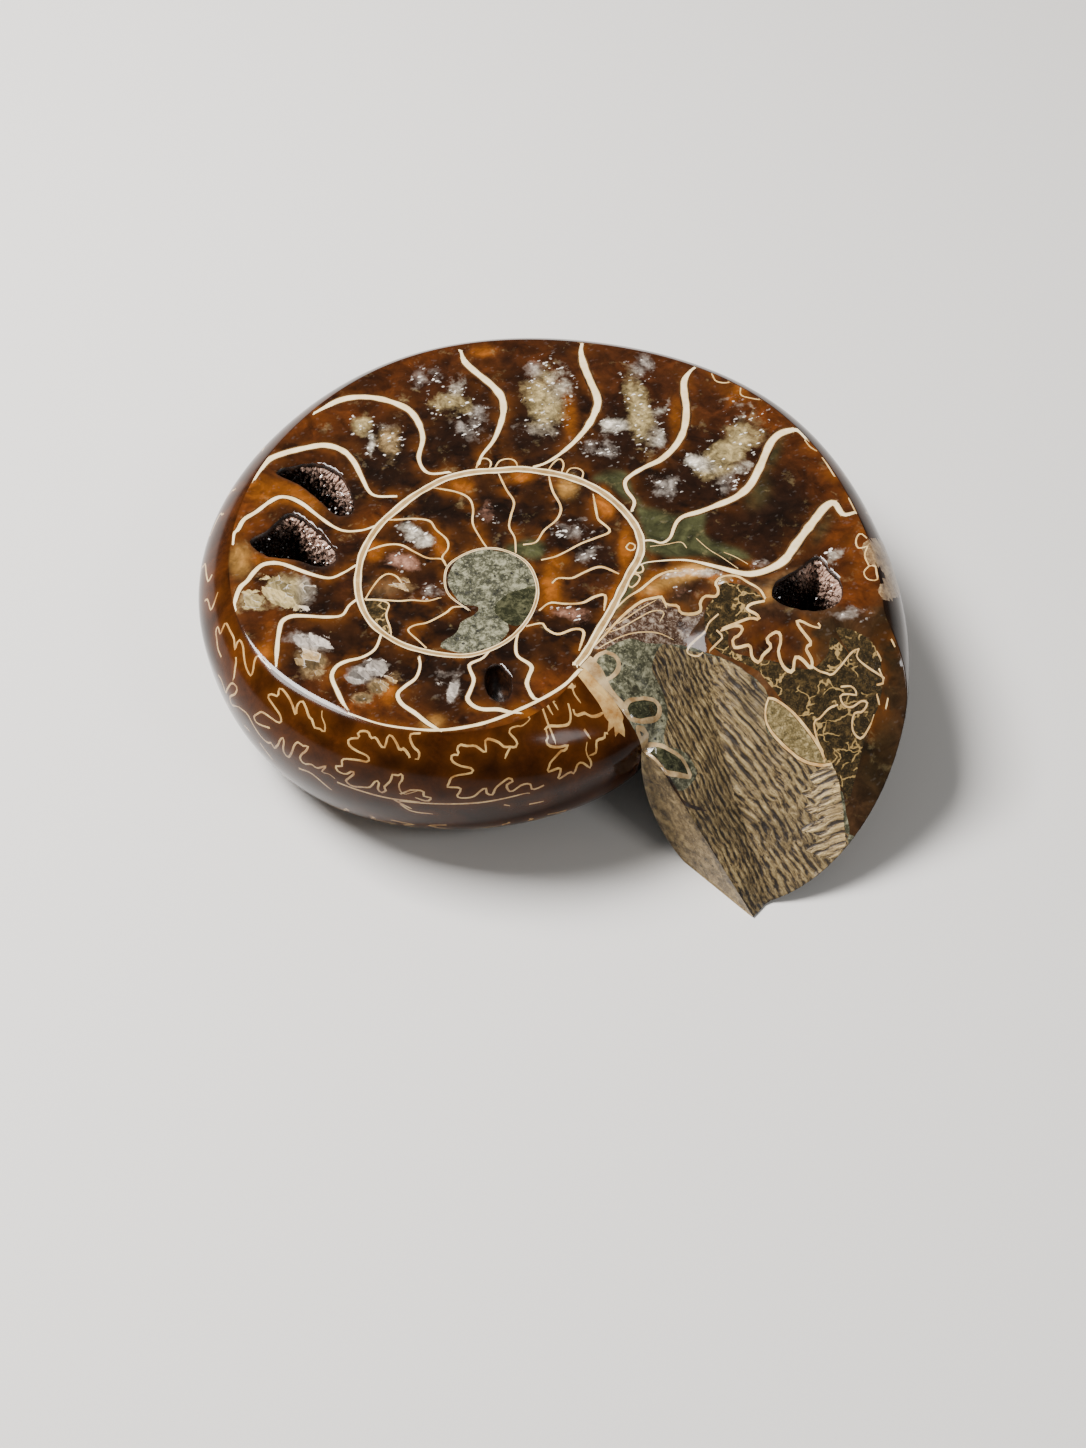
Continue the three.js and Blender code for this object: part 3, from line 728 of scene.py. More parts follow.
class SideFinder(Finder):
    """Finds places on the coil's outside."""

    side = -1
    turn_step = 0.4
    row_step = 0.02
    lowest_row = 1.9

    def __init__(self):
        angles, rows = np.meshgrid(np.arange(MOUTH, MOUTH + TURN, self.turn_step),
                                   np.arange(0, self.lowest_row, self.row_step))
        keep = rows >= np.interp(angles, ANGLES, MEETINGS)
        flat = np.stack([np.interp(angles[keep], ANGLES, WAY_ROUND), side_scale(rows[keep])], -1)
        super().__init__(flat, side_surface)


# Lines and sheets

def curve(points, closed=False):
    """A smooth line through the points, in small steps."""
    ends = np.asarray(points, float)
    if closed:
        padded = np.vstack([ends[-1:], ends, ends[:2]])
    else:
        padded = np.vstack([2 * ends[0] - ends[1], ends, 2 * ends[-1] - ends[-2]])
    t = np.linspace(0, 1, CURVE_STEPS + 1)[:-1, None]
    parts = [spline(*four, t) for four in zip(padded, padded[1:], padded[2:], padded[3:])]
    if not closed:
        parts.append(ends[-1:])
    return np.vstack(parts)


def resample(line, spacing):
    """The line with points an even distance apart."""
    steps = np.hypot(*np.diff(line, axis=0).T)
    way = np.concatenate([[0], np.cumsum(steps)])
    count = max(2, int(round(way[-1] / spacing)) + 1)
    places = np.linspace(0, way[-1], count)
    return np.stack([np.interp(places, way, line[:, k]) for k in (0, 1)], -1)


class Line:
    """A drawn line that swells from one half-width to the other and narrows again at its far tip."""

    swollen = 0.6
    tip_start = 0.86
    noise_scale = 0.9

    def __init__(self, points, start, end, tip=0.4):
        self.points = resample(points, LINE_SPACING)
        way = np.linspace(0, 1, len(self.points))
        scale = self.noise_scale
        uneven = np.array([noise.noise(Vector((x * scale, y * scale, 0))) for x, y in self.points])
        self.half = (start + (end - start) * smooth_step(way, 0, self.swollen)) * (1 + UNEVEN * uneven)
        self.half *= 1 - (1 - tip) * smooth_step(way, self.tip_start, 1.0)

    def outline(self, share=1.0):
        direction = np.gradient(self.points, axis=0)
        direction /= np.maximum(np.hypot(*direction.T), TINY)[:, None]
        aside = np.stack([-direction[:, 1], direction[:, 0]], -1) * share * self.half[:, None]
        return np.vstack([self.points + aside, (self.points - aside)[::-1]])

    def distance(self, places):
        """Distance of places from the middle of the line, and the half-width there; FAR past its reach."""
        least = np.full(len(places), FAR)
        half = np.full(len(places), self.half[0])
        low, high = self.points.min(0) - LINE_REACH, self.points.max(0) + LINE_REACH
        near = np.flatnonzero(((places > low) & (places < high)).all(1))
        spots = places[near]
        for a, b, width in zip(self.points, self.points[1:], self.half):
            apart = gap_to(spots, a, b)
            closer = apart < least[near]
            least[near[closer]] = apart[closer]
            half[near[closer]] = width
        return least, half


def glow_beside(lines, flat):
    """The glow of the calcite: 1 on the lines, fading away from them."""
    return np.exp(-np.min([line.distance(flat)[0] for line in lines], axis=0) / GLOW_REACH)


class Sheet:
    """A flat layout of triangles that follows the lines and zones drawn on it."""

    row_step = 0.866
    jitter = 0.16
    clearance = 0.55
    tolerance = 1e-7

    def __init__(self, border, border_places, spacing, rng):
        self.points = [tuple(p) for p in border]
        self.edges = [(i, (i + 1) % len(border)) for i in range(len(border))]
        self.border = np.asarray(border)
        self.border_places = border_places
        self.holes = []
        self.spacing = spacing
        self.rng = rng

    def add_loop(self, loop, closed=True):
        start = len(self.points)
        self.points += [tuple(p) for p in loop]
        count = len(loop)
        self.edges += [(start + i, start + (i + 1) % count) for i in range(count if closed else count - 1)]

    def add_inside(self, loop):
        """Adds the part of a loop that lies inside the border."""
        self.add_loop(loop[inside(loop, self.border)])

    def add_hole(self, loop):
        self.add_loop(loop)
        self.holes.append(loop)

    def allowed(self, places):
        """Which places lie inside the border and outside the holes."""
        found = inside(places, self.border)
        for hole in self.holes:
            found &= ~inside(places, hole)
        return found

    def loose_points(self):
        """Points in uneven rows, clear of the drawn ones."""
        tree = kdtree.KDTree(len(self.points))
        for i, (x, y) in enumerate(self.points):
            tree.insert((x, y, 0), i)
        tree.balance()
        low, high = self.border.min(0), self.border.max(0)
        rows = np.arange(low[1], high[1], self.spacing * self.row_step)
        loose = []
        for j, y in enumerate(rows):
            xs = np.arange(low[0] + (j % 2) * self.spacing / 2, high[0], self.spacing)
            loose.append(np.stack([xs, np.full(len(xs), y)], -1))
        loose = np.vstack(loose)
        loose += self.rng.uniform(-self.jitter, self.jitter, loose.shape) * self.spacing
        loose = loose[self.allowed(loose)]
        clear = [tree.find((x, y, 0))[2] > self.clearance * self.spacing for x, y in loose]
        return loose[np.array(clear)]

    def fill(self):
        """Adds the loose points and makes the triangles."""
        every = [Vector(p) for p in [*self.points, *self.loose_points()]]
        found = geometry.delaunay_2d_cdt(every, self.edges, [], 0, self.tolerance, True)
        flat = np.array([tuple(v) for v in found[0]])
        faces = np.array([f for f in found[2] if len(f) == 3])
        middle = flat[faces].mean(1)
        wanted = self.allowed(middle)
        self.flat = flat
        self.faces = faces[wanted]
        self.middle = middle[wanted]
        self.known = {}
        for place, sources in enumerate(found[3]):
            for source in sources:
                if source < len(self.border):
                    self.known[place] = source
        a, b, c = (self.flat[self.faces[:, k]] for k in range(3))
        turned = cross(b - a, c - a) < 0
        self.faces[turned] = self.faces[turned][:, ::-1]

    def set_border(self, places):
        """Puts the border's points exactly where the neighbouring sheets have them."""
        for place, source in self.known.items():
            places[place] = self.border_places[source]
        return places


class Stone:
    """Collects sheets into one mesh, with a material and attributes for each."""

    plain = {"tint": (0.06, 0.02, 0.0065), "glow": 0.0, "cloud": 0.0, "shards": 0.0,
             "cloud_tint": (0.4, 0.3, 0.2)}

    def __init__(self):
        self.places = []
        self.faces = []
        self.materials = []
        self.attributes = {name: [] for name in self.plain}
        self.count = 0

    def add(self, places, faces, materials, **attributes):
        places = np.asarray(places, float)
        self.faces.append(np.asarray(faces) + self.count)
        self.places.append(places)
        self.materials.append(np.broadcast_to(materials, len(faces)))
        for name, value in self.plain.items():
            shape = (len(places), 3) if isinstance(value, tuple) else (len(places),)
            self.attributes[name].append(attributes.get(name, np.broadcast_to(value, shape)))
        self.count += len(places)

    def build(self, name, materials):
        """One object, with the sheets joined where they meet."""
        places = np.vstack(self.places)
        faces = np.vstack(self.faces)
        index = np.concatenate(self.materials)
        keys = np.round(places / WELD).astype(np.int64)
        _, first, same = np.unique(keys, axis=0, return_index=True, return_inverse=True)
        same = same.reshape(-1)
        faces = same[faces]
        good = (faces[:, 0] != faces[:, 1]) & (faces[:, 1] != faces[:, 2]) & (faces[:, 2] != faces[:, 0])
        attributes = {key: np.concatenate(value)[first] for key, value in self.attributes.items()}
        return make_object(name, places[first], faces[good], materials, index[good], attributes)


def make_object(name, places, faces, materials, index=None, attributes=None):
    """A mesh object from millimetres around the coil's axis."""
    mesh = bpy.data.meshes.new(name)
    moved = (np.asarray(places) + (*COIL_AXIS, REST)) / 1000
    mesh.from_pydata(moved.tolist(), [], np.asarray(faces).tolist())
    for material in materials:
        mesh.materials.append(material)
    if index is not None:
        mesh.polygons.foreach_set("material_index", np.asarray(index, np.int32))
    for key, values in (attributes or {}).items():
        coloured = values.ndim == 2
        layer = mesh.attributes.new(key, "FLOAT_COLOR" if coloured else "FLOAT", "POINT")
        if coloured:
            values = np.column_stack([values, np.ones(len(values))])
        layer.data.foreach_set("color" if coloured else "value", values.astype(np.float32).ravel())
    mesh.polygons.foreach_set("use_smooth", np.ones(len(faces), bool))
    mesh.update()
    made = bpy.data.objects.new(name, mesh)
    bpy.context.scene.collection.objects.link(made)
    return made


# The stone's materials by place in its list
(CHAMBER, WALL, WALL_EDGE, GREY_STONE, STRIPED_STONE, NACRE, OLIVE, SPONGE, BAND, SUTURE, UNDERSIDE, POCKET,
 SCAR, DARK_OLIVE, FINE_WALL, GOLD_STONE, WALL_TAN, TAN_STONE_ROUGH, FIBRES) = range(19)

# What a line across the polish is made of, from its edges to its middle, by share of its width
LAYERS = {
    "spiral": [(1.15, WALL_EDGE), (0.92, WALL), (0.50, WALL_TAN)],
    "partition": [(1.22, WALL_EDGE), (0.86, WALL_TAN), (0.70, WALL)],
    "fine": [(1.0, WALL_EDGE), (0.70, FINE_WALL)],
    "shell": [(1.0, NACRE)],
    "hair": [(1.0, FINE_WALL)],
    "crack": [(1.0, POCKET)],
}

SLOPE_TINT = (0.036, 0.017, 0.0070)
COLOURS = {
    "dark": (0.0065, 0.0028, 0.0014),
    "brown": (0.026, 0.0075, 0.0024),
    "russet": (0.017, 0.0048, 0.0018),
    "umber": (0.015, 0.0090, 0.0032),
    "amber": (0.070, 0.018, 0.0028),
    "orange": (0.17, 0.050, 0.0052),
    "gold": (0.32, 0.16, 0.037),
    "tan": (0.13, 0.070, 0.028),
    "olive": (0.024, 0.021, 0.008),
    "deep_olive": (0.036, 0.037, 0.015),
    "cream": (0.38, 0.29, 0.13),
    "beige": (0.30, 0.20, 0.09),
    "white": (0.74, 0.67, 0.54),
    "silver": (0.40, 0.35, 0.30),
    "rose": (0.30, 0.15, 0.10),
}


def top_lines(find):
    """Every line on the polished surface, with its kind; later ones lie over earlier ones.

    Each is drawn with its kind, its points, its half-width at the start and end, and the share of that
    width left at its far tip.
    """
    drawn = [("hair", points, 0.035, 0.04, 1.0) for points in NEEDLES]
    drawn += [("hair", points, 0.05, 0.05, 0.5) for points in SPONGY_LINES]
    drawn += [("fine", points, 0.11, 0.20, 0.5) for points in SPONGY_EDGES]
    drawn.append(("crack", MOUTH_CRACK, 0.24, 0.16, 0.3))
    for start, end, points in PARTITIONS:
        drawn.append(("fine" if end < FINE_LIMIT else "partition", points, start, end, 0.4))
    drawn += [("fine", points, 0.17, 0.19, 0.6) for points in LOBES[:2]]
    drawn += [("fine", points, 0.10, 0.12, 0.5) for points in LOBES[2:] + RIM_LOOPS + WALL_LOOPS]
    drawn += [("shell", points, 0.20, 0.20, 1.0) for points in SHELL_RINGS[:4]]
    drawn += [("fine", points, 0.13, 0.16, 0.8) for points in SHELL_RINGS[4:]]
    # The near rim's line is drawn as a partition: partly the shell wall, partly a painted highlight
    drawn += [("shell", NOSE_RIDGE, 0.75, 0.45, 0.5), ("partition", RIM_WALL_AND_HIGHLIGHT, 0.10, 0.22, 1.0),
              ("spiral", SPIRAL_WALL, 0.10, 0.42, 1.0)]
    return [(kind, Line(curve(find(points)), start, end, tip)) for kind, points, start, end, tip in drawn]


def top_zones():
    """Areas of other stone on the polished surface, in pixels, later ones over earlier ones."""
    kinds = [(OLIVE, SPECKLE), (OLIVE, RIGHT_OLIVE), (SPONGE, SPONGY), (GREY_STONE, CENTRE_STONE),
             (OLIVE, OLIVE_CORNER), (DARK_OLIVE, DARK_POCKET), (SCAR, RIM_SCAR), (GREY_STONE, rough_loop()),
             (STRIPED_STONE, TAN_STONE), (FIBRES, FRINGE), (GOLD_STONE, LEAF), (DARK_OLIVE, SHELL_RINGS[1]),
             (DARK_OLIVE, SHELL_RINGS[2])]
    return [(kind, curve(points, closed=True)) for kind, points in kinds]


def rough_loop():
    """The whole rough part of the mouth, down past its lower rim."""
    return ROUGH_EDGE + [(800, 750), (825, 764), (836, 785), (846, 812), (852, 960), (560, 960), (560, 760),
                         (585, 700), (600, 655)]


def top_border():
    """The top's border before rounding: out along the face's edge, then back along the mouth's seam."""
    edge = on_coil(ANGLES, *section(ANGLES, MEETINGS))
    rows = np.linspace(0, 1, UPPER_ROWS + 1)[1:]
    flank_radius, flank_height = section(MOUTH + TURN, rows)
    flank = on_coil(MOUTH, flank_radius, flank_height)
    outward = np.linspace(NOSE_KEEL, math.hypot(*edge[0, :2]), WALL_ROWS + 1)[1:-1]
    seam = on_coil(MOUTH, outward, 0)
    seam[:, 2] = top_height(seam[:, :2])
    return edge, flank, seam


def spot_weight(pixels, spot):
    """How strongly a listed spot shows at each pixel."""
    (x, y), (across, down), turn, _, strength = spot
    c, s = math.cos(math.radians(turn)), math.sin(math.radians(turn))
    offset = pixels - (x, y)
    u = (offset[:, 0] * c - offset[:, 1] * s) / across
    v = (offset[:, 0] * s + offset[:, 1] * c) / down
    return strength * np.exp(-(u * u + v * v) ** 1.5)


def bevel(angle):
    """Width of the rounded edge on each side of the face's rim: wider at the left, none at its two ends."""
    wide = smooth_step(angle, *WIDE_FROM) * (1 - smooth_step(angle, *WIDE_TO))
    ends = smooth_step(angle, MOUTH, MOUTH + BEVEL_FADE)
    ends = ends * (1 - smooth_step(angle, MOUTH + TURN - BEVEL_FADE, MOUTH + TURN))
    return (BEVEL + (WIDE_BEVEL - BEVEL) * wide) * ends + 1e-6


def rounded_rim(angle, way):
    """Places on the rounded rim: way is 0 where it leaves the face and 1 where it joins the side."""
    width = bevel(angle)
    meeting = np.interp(angle, ANGLES, MEETINGS)
    radius, height = section(angle, meeting)
    corner = on_coil(angle, radius, height)
    upper = on_coil(angle, radius - width, 0)
    upper[..., 2] = np.where(width > BEVEL / 2, top_height(upper[..., :2]), height)
    lower = on_coil(angle, *section(angle, side_unscale(side_scale(meeting) + width)))
    way = np.asarray(way)[..., None]
    return (1 - way) ** 2 * upper + 2 * way * (1 - way) * corner + way ** 2 * lower


def round_rim(places, angle, depth, side):
    """Moves the points within the rim's width onto its rounding: depth is their distance from the corner."""
    share = depth / bevel(angle)
    near = np.flatnonzero(share < 1)
    way = 0.5 + 0.5 * side * np.clip(share[near], 0, 1)
    places[near] = rounded_rim(angle[near], way)
    return places


def make_top(stone, rng):
    """The polished face and the slope of the mouth, cut along every line and zone drawn on them."""
    edge, flank, seam = top_border()
    rim = rounded_rim(ANGLES, np.full(len(ANGLES), 0.5))
    sheet = Sheet(np.vstack([edge, flank, seam])[:, :2], np.vstack([rim, flank, seam]), FACE_SPACING, rng)
    find = TopFinder(sheet.border)
    lines = top_lines(find)
    zones = top_zones()
    rims = [hollow_rim(rim) for _, rim, _ in HOLLOWS]
    cut_top(sheet, find, lines, zones, rims)
    pixels = to_photo(top_surface(sheet.flat))
    glow = glow_beside([line for _, line in lines], sheet.flat)
    glow *= 1 - soft_zones(pixels, np.zeros(len(pixels)))
    cloud, cloud_tint = spot_strength_and_colour(pixels, CLOUDS_AND_REFLECTIONS + SHARDS)
    stone.add(top_places(sheet, pixels), sheet.faces, top_materials(sheet, lines, zones),
              tint=chamber_tint(sheet.flat, pixels), glow=glow, cloud=cloud, cloud_tint=cloud_tint,
              shards=spot_strength_and_colour(pixels, SHARDS)[0])
    return rims


def cut_top(sheet, find, lines, zones, rims):
    """Draws the rim's rounding, the lines, the zones and the hollows on the sheet, and fills it."""
    angles = ANGLES[ROUNDED]
    radius = section(angles, MEETINGS[ROUNDED])[0]
    for share in BEVEL_STEPS:
        sheet.add_loop(on_coil(angles, radius - share * bevel(angles), 0)[:, :2], closed=False)
    for kind, line in lines:
        for share, _ in LAYERS[kind]:
            sheet.add_inside(line.outline(share))
    for _, loop in zones:
        sheet.add_inside(resample(find(loop), ZONE_SPACING))
    for rim in rims:
        sheet.add_hole(rim)
    sheet.fill()


def top_materials(sheet, lines, zones):
    """Each face's material: the zones first, then the lines from their edges to their middles."""
    materials = np.full(len(sheet.faces), CHAMBER)
    pixels = to_photo(top_surface(sheet.middle))
    for kind, loop in zones:
        materials[inside(pixels, loop)] = kind
    gaps = [(LAYERS[kind], *line.distance(sheet.middle)) for kind, line in lines]
    for level in range(max(len(layers) for layers in LAYERS.values())):
        for layers, apart, half in gaps:
            for share, material in layers[level:level + 1]:
                materials[apart < half * share] = material
    return materials


def top_places(sheet, pixels):
    """The sheet's points in space, with the mouth's stone roughened and the rim rounded."""
    places = roughen(top_surface(sheet.flat), pixels)
    turn = coil_turn(sheet.flat)
    rim_radius = section(turn, np.interp(turn, ANGLES, MEETINGS))[0]
    places = round_rim(places, turn, rim_radius - np.hypot(*sheet.flat.T), -1)
    return sheet.set_border(places)


def coil_turn(flat):
    """Angle of places on the outer turn, counted from the mouth."""
    turn = np.degrees(np.arctan2(flat[:, 1], flat[:, 0]))
    return np.where(turn < MOUTH, turn + TURN, turn)


def spot_strength_and_colour(pixels, spots):
    """Strength and colour of a list of spots: the milky clouds with their painted reflections, and the
    clusters of facets.
    """
    strength = np.zeros(len(pixels))
    total = np.full(len(pixels), 1e-6)
    colour = np.tile(np.array(COLOURS["cream"]), (len(pixels), 1)) * 1e-6
    for spot in spots:
        weight = spot_weight(pixels, spot)
        strength = np.maximum(strength, weight)
        total += weight ** 2
        colour += (weight ** 2)[:, None] * np.array(COLOURS[spot[3]])
    return strength, colour / total[:, None]


def roughen(places, pixels):
    """Raises and sinks the broken stone of the mouth a little."""
    loop = curve(rough_loop(), closed=True)
    within = np.flatnonzero(inside(pixels, loop))
    margin = distance_to(pixels[within], loop)
    for i, gap in zip(within, margin):
        spot = Vector(places[i])
        bump = 0.20 * noise.fractal(spot * 0.55, 0.9, 2.0, 4) + 0.05 * noise.noise(spot * 2.6)
        places[i, 2] += bump * min(1.0, gap / ROUGH_MARGIN)
    return places


def chamber_tint(flat, pixels):
    """Colour of the calcite: dark by the inner wall and amber by the rim, with the listed spots."""
    radius = np.hypot(*flat.T)
    turn = coil_turn(flat)
    rim = section(turn, np.zeros(len(turn)))[0]
    inner = section(turn + TURN, np.zeros(len(turn)))[0]
    outward = smooth_step((radius - inner) / (rim - inner), 0.35, 1.1)
    drift = np.array([noise.fractal(Vector((x * 0.16, y * 0.16, 3)), 1.0, 2.0, 3) for x, y in flat])
    warm = np.clip(0.08 + outward * (0.7 + 0.9 * drift), 0, 1)[:, None]
    tint = np.array(COLOURS["dark"]) * (1 - warm) + 0.7 * np.array(COLOURS["amber"]) * warm
    tint[inside(flat, MOUTH_REGION)] = SLOPE_TINT
    for spot in TINTS:
        tint += spot_weight(pixels, spot)[:, None] * (np.array(COLOURS[spot[3]]) - tint)
    tint += soft_zones(pixels, 4 * drift)[:, None] * (np.array(COLOURS["deep_olive"]) - tint)
    return tint


def soft_zones(pixels, wobble):
    """How deep each pixel lies in the dark olive areas."""
    weights = [soft_inside(pixels, curve(points, closed=True), wobble) for points in SOFT_ZONES]
    return np.max(weights, axis=0)


def soft_inside(pixels, loop, wobble):
    """How far inside a loop each pixel is, from 0 to 1 across a soft, uneven edge."""
    low, high = loop.min(0) - 3 * SOFT_EDGE, loop.max(0) + 3 * SOFT_EDGE
    near = np.flatnonzero(((pixels > low) & (pixels < high)).all(1))
    depth = distance_to(pixels[near], loop) * np.where(inside(pixels[near], loop), 1, -1)
    weight = np.zeros(len(pixels))
    weight[near] = smooth_step(depth + wobble[near], -SOFT_EDGE, SOFT_EDGE)
    return weight


def side_column(angle, rows):
    """Points down the whorl's outline at one angle."""
    radius, height = section(angle, rows)
    return on_coil(angle, radius, height)


def side_rows(start):
    """Places down the outline that all the seams share: some above the keel and some below."""
    above = np.linspace(start, 1, UPPER_ROWS + 1) if start < 1 else np.array([])
    below = np.linspace(max(start, 1), 3, LOWER_ROWS * 2 + 1)
    return np.unique(np.concatenate([above, below]).round(9))


def make_side(stone, rng):
    """The coil's outside and the underside of its outer turn."""
    sheet = side_sheet(rng)
    cut_side_rim(sheet)
    find = SideFinder()
    lines = [Line(curve(find(points)), SUTURE_HALF, SUTURE_HALF) for points in SUTURES]
    lines += [Line(curve(points), UNSEEN_HALF, UNSEEN_HALF) for points in unseen_sutures()]
    lines.append(Line(curve(find(NOSE_FLANGE)), 1.3, 1.0, 0.3))
    for line in lines:
        sheet.add_inside(line.outline())
    sheet.fill()
    materials = np.full(len(sheet.faces), BAND)
    scarred = inside(to_photo(side_surface(sheet.middle)), curve(RIM_SCAR, closed=True))
    materials[scarred & (sheet.middle[:, 0] < SCAR_WAY)] = SCAR
    for line in lines:
        apart, half = line.distance(sheet.middle)
        materials[apart < half] = SUTURE
    angle = np.interp(sheet.flat[:, 0], WAY_ROUND, ANGLES)
    depth = sheet.flat[:, 1] - side_scale(np.interp(angle, ANGLES, MEETINGS))
    places = sheet.set_border(round_rim(side_surface(sheet.flat), angle, depth, 1))
    stone.add(places, sheet.faces[:, ::-1], materials, tint=band_tint(sheet.flat),
              glow=glow_beside(lines, sheet.flat))


def side_sheet(rng):
    """The flat layout of the side, with its border's places in space."""
    start_rows = side_rows(MEETINGS[0])[1:]
    end_rows = side_rows(0)[1:]
    top = np.stack([WAY_ROUND, side_scale(MEETINGS)], -1)
    bottom = np.stack([WAY_ROUND, np.full(len(WAY_ROUND), side_scale(3))], -1)
    right = np.stack([np.full(len(end_rows), WAY_ROUND[-1]), side_scale(end_rows)], -1)
    left = np.stack([np.zeros(len(start_rows)), side_scale(start_rows)], -1)
    border = np.vstack([top, right, bottom[:-1][::-1], left[:-1][::-1]])
    rim = rounded_rim(ANGLES, np.full(len(ANGLES), 0.5))
    groove = on_coil(ANGLES, *section(ANGLES, np.full(len(ANGLES), 3.0)))
    places = np.vstack([rim, side_column(MOUTH + TURN, end_rows), groove[:-1][::-1],
                        side_column(MOUTH, start_rows)[:-1][::-1]])
    return Sheet(border, places, SIDE_SPACING, rng)


def cut_side_rim(sheet):
    """Draws the rim's rounding along the top of the side."""
    angles = ANGLES[ROUNDED]
    way = WAY_ROUND[ROUNDED]
    top = side_scale(MEETINGS[ROUNDED])
    for share in BEVEL_STEPS:
        sheet.add_loop(np.stack([way, top + share * bevel(angles)], -1), closed=False)


def band_tint(flat):
    """Colour of the shell's outside: rich amber above; darker toward the keel and below, as painted shade;
    darker by the mouth.
    """
    down = side_unscale(flat[:, 1])
    shade = np.array([noise.fractal(Vector((x * 0.12, y * 0.12, 8)), 1.0, 2.0, 3) for x, y in flat])
    # Painted shade: the tint darkens from above the keel to below it, where the coil turns under
    warm = np.clip(0.85 - 0.6 * smooth_step(down, 0.4, 1.2) + 0.6 * shade, 0.05, 1)[:, None]
    tint = np.array(COLOURS["brown"]) * (1 - warm) + np.array(COLOURS["amber"]) * warm
    near_mouth = (1 - smooth_step(flat[:, 0], 18, SCAR_WAY))[:, None]
    return tint + 0.85 * near_mouth * (np.array(COLOURS["umber"]) - tint)


# The unseen sutures: first, last and step of their angles, where round the coil they start by the rim
# and not below the keel, their points, where down the outline they run, and their room at the edges
UNSEEN_TURNS = (-38, 300, 11.0)
FAR_SIDE = (10, 175)
UNSEEN_POINTS = 60
FROM_RIM, FROM_KEEL, TO_GROOVE = 0.3, 1.35, 2.9
RIM_MARGIN = 0.4
END_MARGIN = 0.6


def unseen_sutures():
    """Branching suture lines on the sides that the photograph doesn't show, like those that it does."""
    lines = []
    for angle in np.arange(*UNSEEN_TURNS):
        way = np.interp(angle, ANGLES, WAY_ROUND)
        start = FROM_RIM if FAR_SIDE[0] < angle < FAR_SIDE[1] else FROM_KEEL
        downs = side_scale(np.linspace(start, TO_GROOVE, UNSEEN_POINTS))
        lobes = (1.5 * np.sin(downs * 0.62 + angle) + 0.9 * np.sin(downs * 1.9 + 2 * angle)
                 + 0.45 * np.sin(downs * 4.3 + angle))
        shrink = np.linspace(1, 0.45, UNSEEN_POINTS)
        line = np.stack([way + lobes * shrink, downs], -1)
        low = np.interp(line[:, 0], WAY_ROUND, side_scale(MEETINGS)) + RIM_MARGIN
        keep = (line[:, 0] > END_MARGIN) & (line[:, 0] < WAY_ROUND[-1] - END_MARGIN) & (line[:, 1] > low)
        if keep.sum() > 8:
            lines.append(line[keep])
    return lines


def make_end(stone, rng):
    """The mouth's end wall, in the plane where the outer turn stops."""
    seam = top_border()[2]
    column = side_column(MOUTH, side_rows(MEETINGS[0]))
    ring = np.vstack([column, seam])
    flat = np.stack([np.hypot(ring[:, 0], ring[:, 1]), ring[:, 2]], -1)
    sheet = Sheet(flat, ring, END_SPACING, rng)
    sheet.fill()
    places = sheet.set_border(on_coil(MOUTH, sheet.flat[:, 0], sheet.flat[:, 1]))
    stone.add(places, sheet.faces[:, ::-1], TAN_STONE_ROUGH)


def make_underside(stone):
    """The inner turns seen from below, and the middle."""
    angles = np.arange(MOUTH + TURN, MOUTH + 3 * TURN + 1)
    rows = side_rows(1)
    grid = np.stack([on_coil(angles, *section(angles, np.full(len(angles), row))) for row in rows], 1)
    count = len(rows)
    faces = []
    for i in range(len(angles) - 1):
        for j in range(count - 1):
            a, b = i * count + j, (i + 1) * count + j
            faces += [(a, b + 1, b), (a, a + 1, b + 1)]
    stone.add(grid.reshape(-1, 3), np.array(faces)[:, ::-1], UNDERSIDE)
    last = grid[-(TURN + 1):, -1]
    middle = np.vstack([last, [[0, 0, last[:, 2].mean() - 1.0]]])
    fan = [(i + 1, i, len(last)) for i in range(len(last) - 1)]
    stone.add(middle, np.array(fan)[:, ::-1], UNDERSIDE)


# Hollows and their crystals

# Depth, rim around the coil's axis, and node of the crust
HOLLOWS = [
    (6.5, [(-21.7, 15.9), (-19.4, 17.0), (-17.2, 17.0), (-15.2, 15.6), (-13.9, 12.9), (-13.7, 10.6),
           (-15.2, 10.1), (-16.9, 11.9), (-19.1, 14.1)], "crystals_upper_left"),
    (6.9, [(-23.5, 6.7), (-22.0, 8.0), (-20.0, 10.4), (-18.0, 9.2), (-15.9, 6.7), (-14.8, 4.5),
           (-16.3, 3.4), (-18.9, 4.3), (-21.7, 4.8)], "crystals_lower_left"),
    (6.5, [(31.7, 4.8), (32.7, 3.1), (33.7, 1.3), (33.3, -0.9), (31.5, -2.0), (29.1, -1.7),
           (27.0, -0.4), (27.4, 1.5), (29.6, 3.1)], "crystals_right"),
    (2.6, [(-0.1, -9.1), (0.8, -8.5), (1.9, -9.6), (2.3, -11.1), (2.0, -12.4), (1.1, -12.9),
           (0.1, -12.1), (-0.3, -10.7)], None),
]
# The bowl of a hollow: share of its depth, and size of the ring there
BOWL = [(0, 1), (0.12, 0.985), (0.28, 0.955), (0.45, 0.91), (0.64, 0.82), (0.82, 0.67), (0.94, 0.48),
        (1, 0.28)]


def hollow_rim(rim):
    """The hollow's mouth as a smooth, slightly uneven loop."""
    loop = curve(rim, closed=True)
    loop = resample(np.vstack([loop, loop[:1]]), HOLE_SPACING)[:-1]
    middle = loop.mean(0)
    wobble = np.array([noise.noise(Vector((x * 1.7, y * 1.7, 5))) for x, y in loop])
    return middle + (loop - middle) * (1 + 0.035 * wobble)[:, None]


def bowl_point(rim, depth, share_down, size):
    """A ring of the hollow: the rim drawn in toward its middle and sunk."""
    middle = rim.mean(0)
    flat = middle + (rim - middle) * size
    rim_height = top_height(rim)
    height = rim_height * (1 - share_down) + (rim_height.mean() * share_down) - depth * share_down
    return np.column_stack([flat, height])


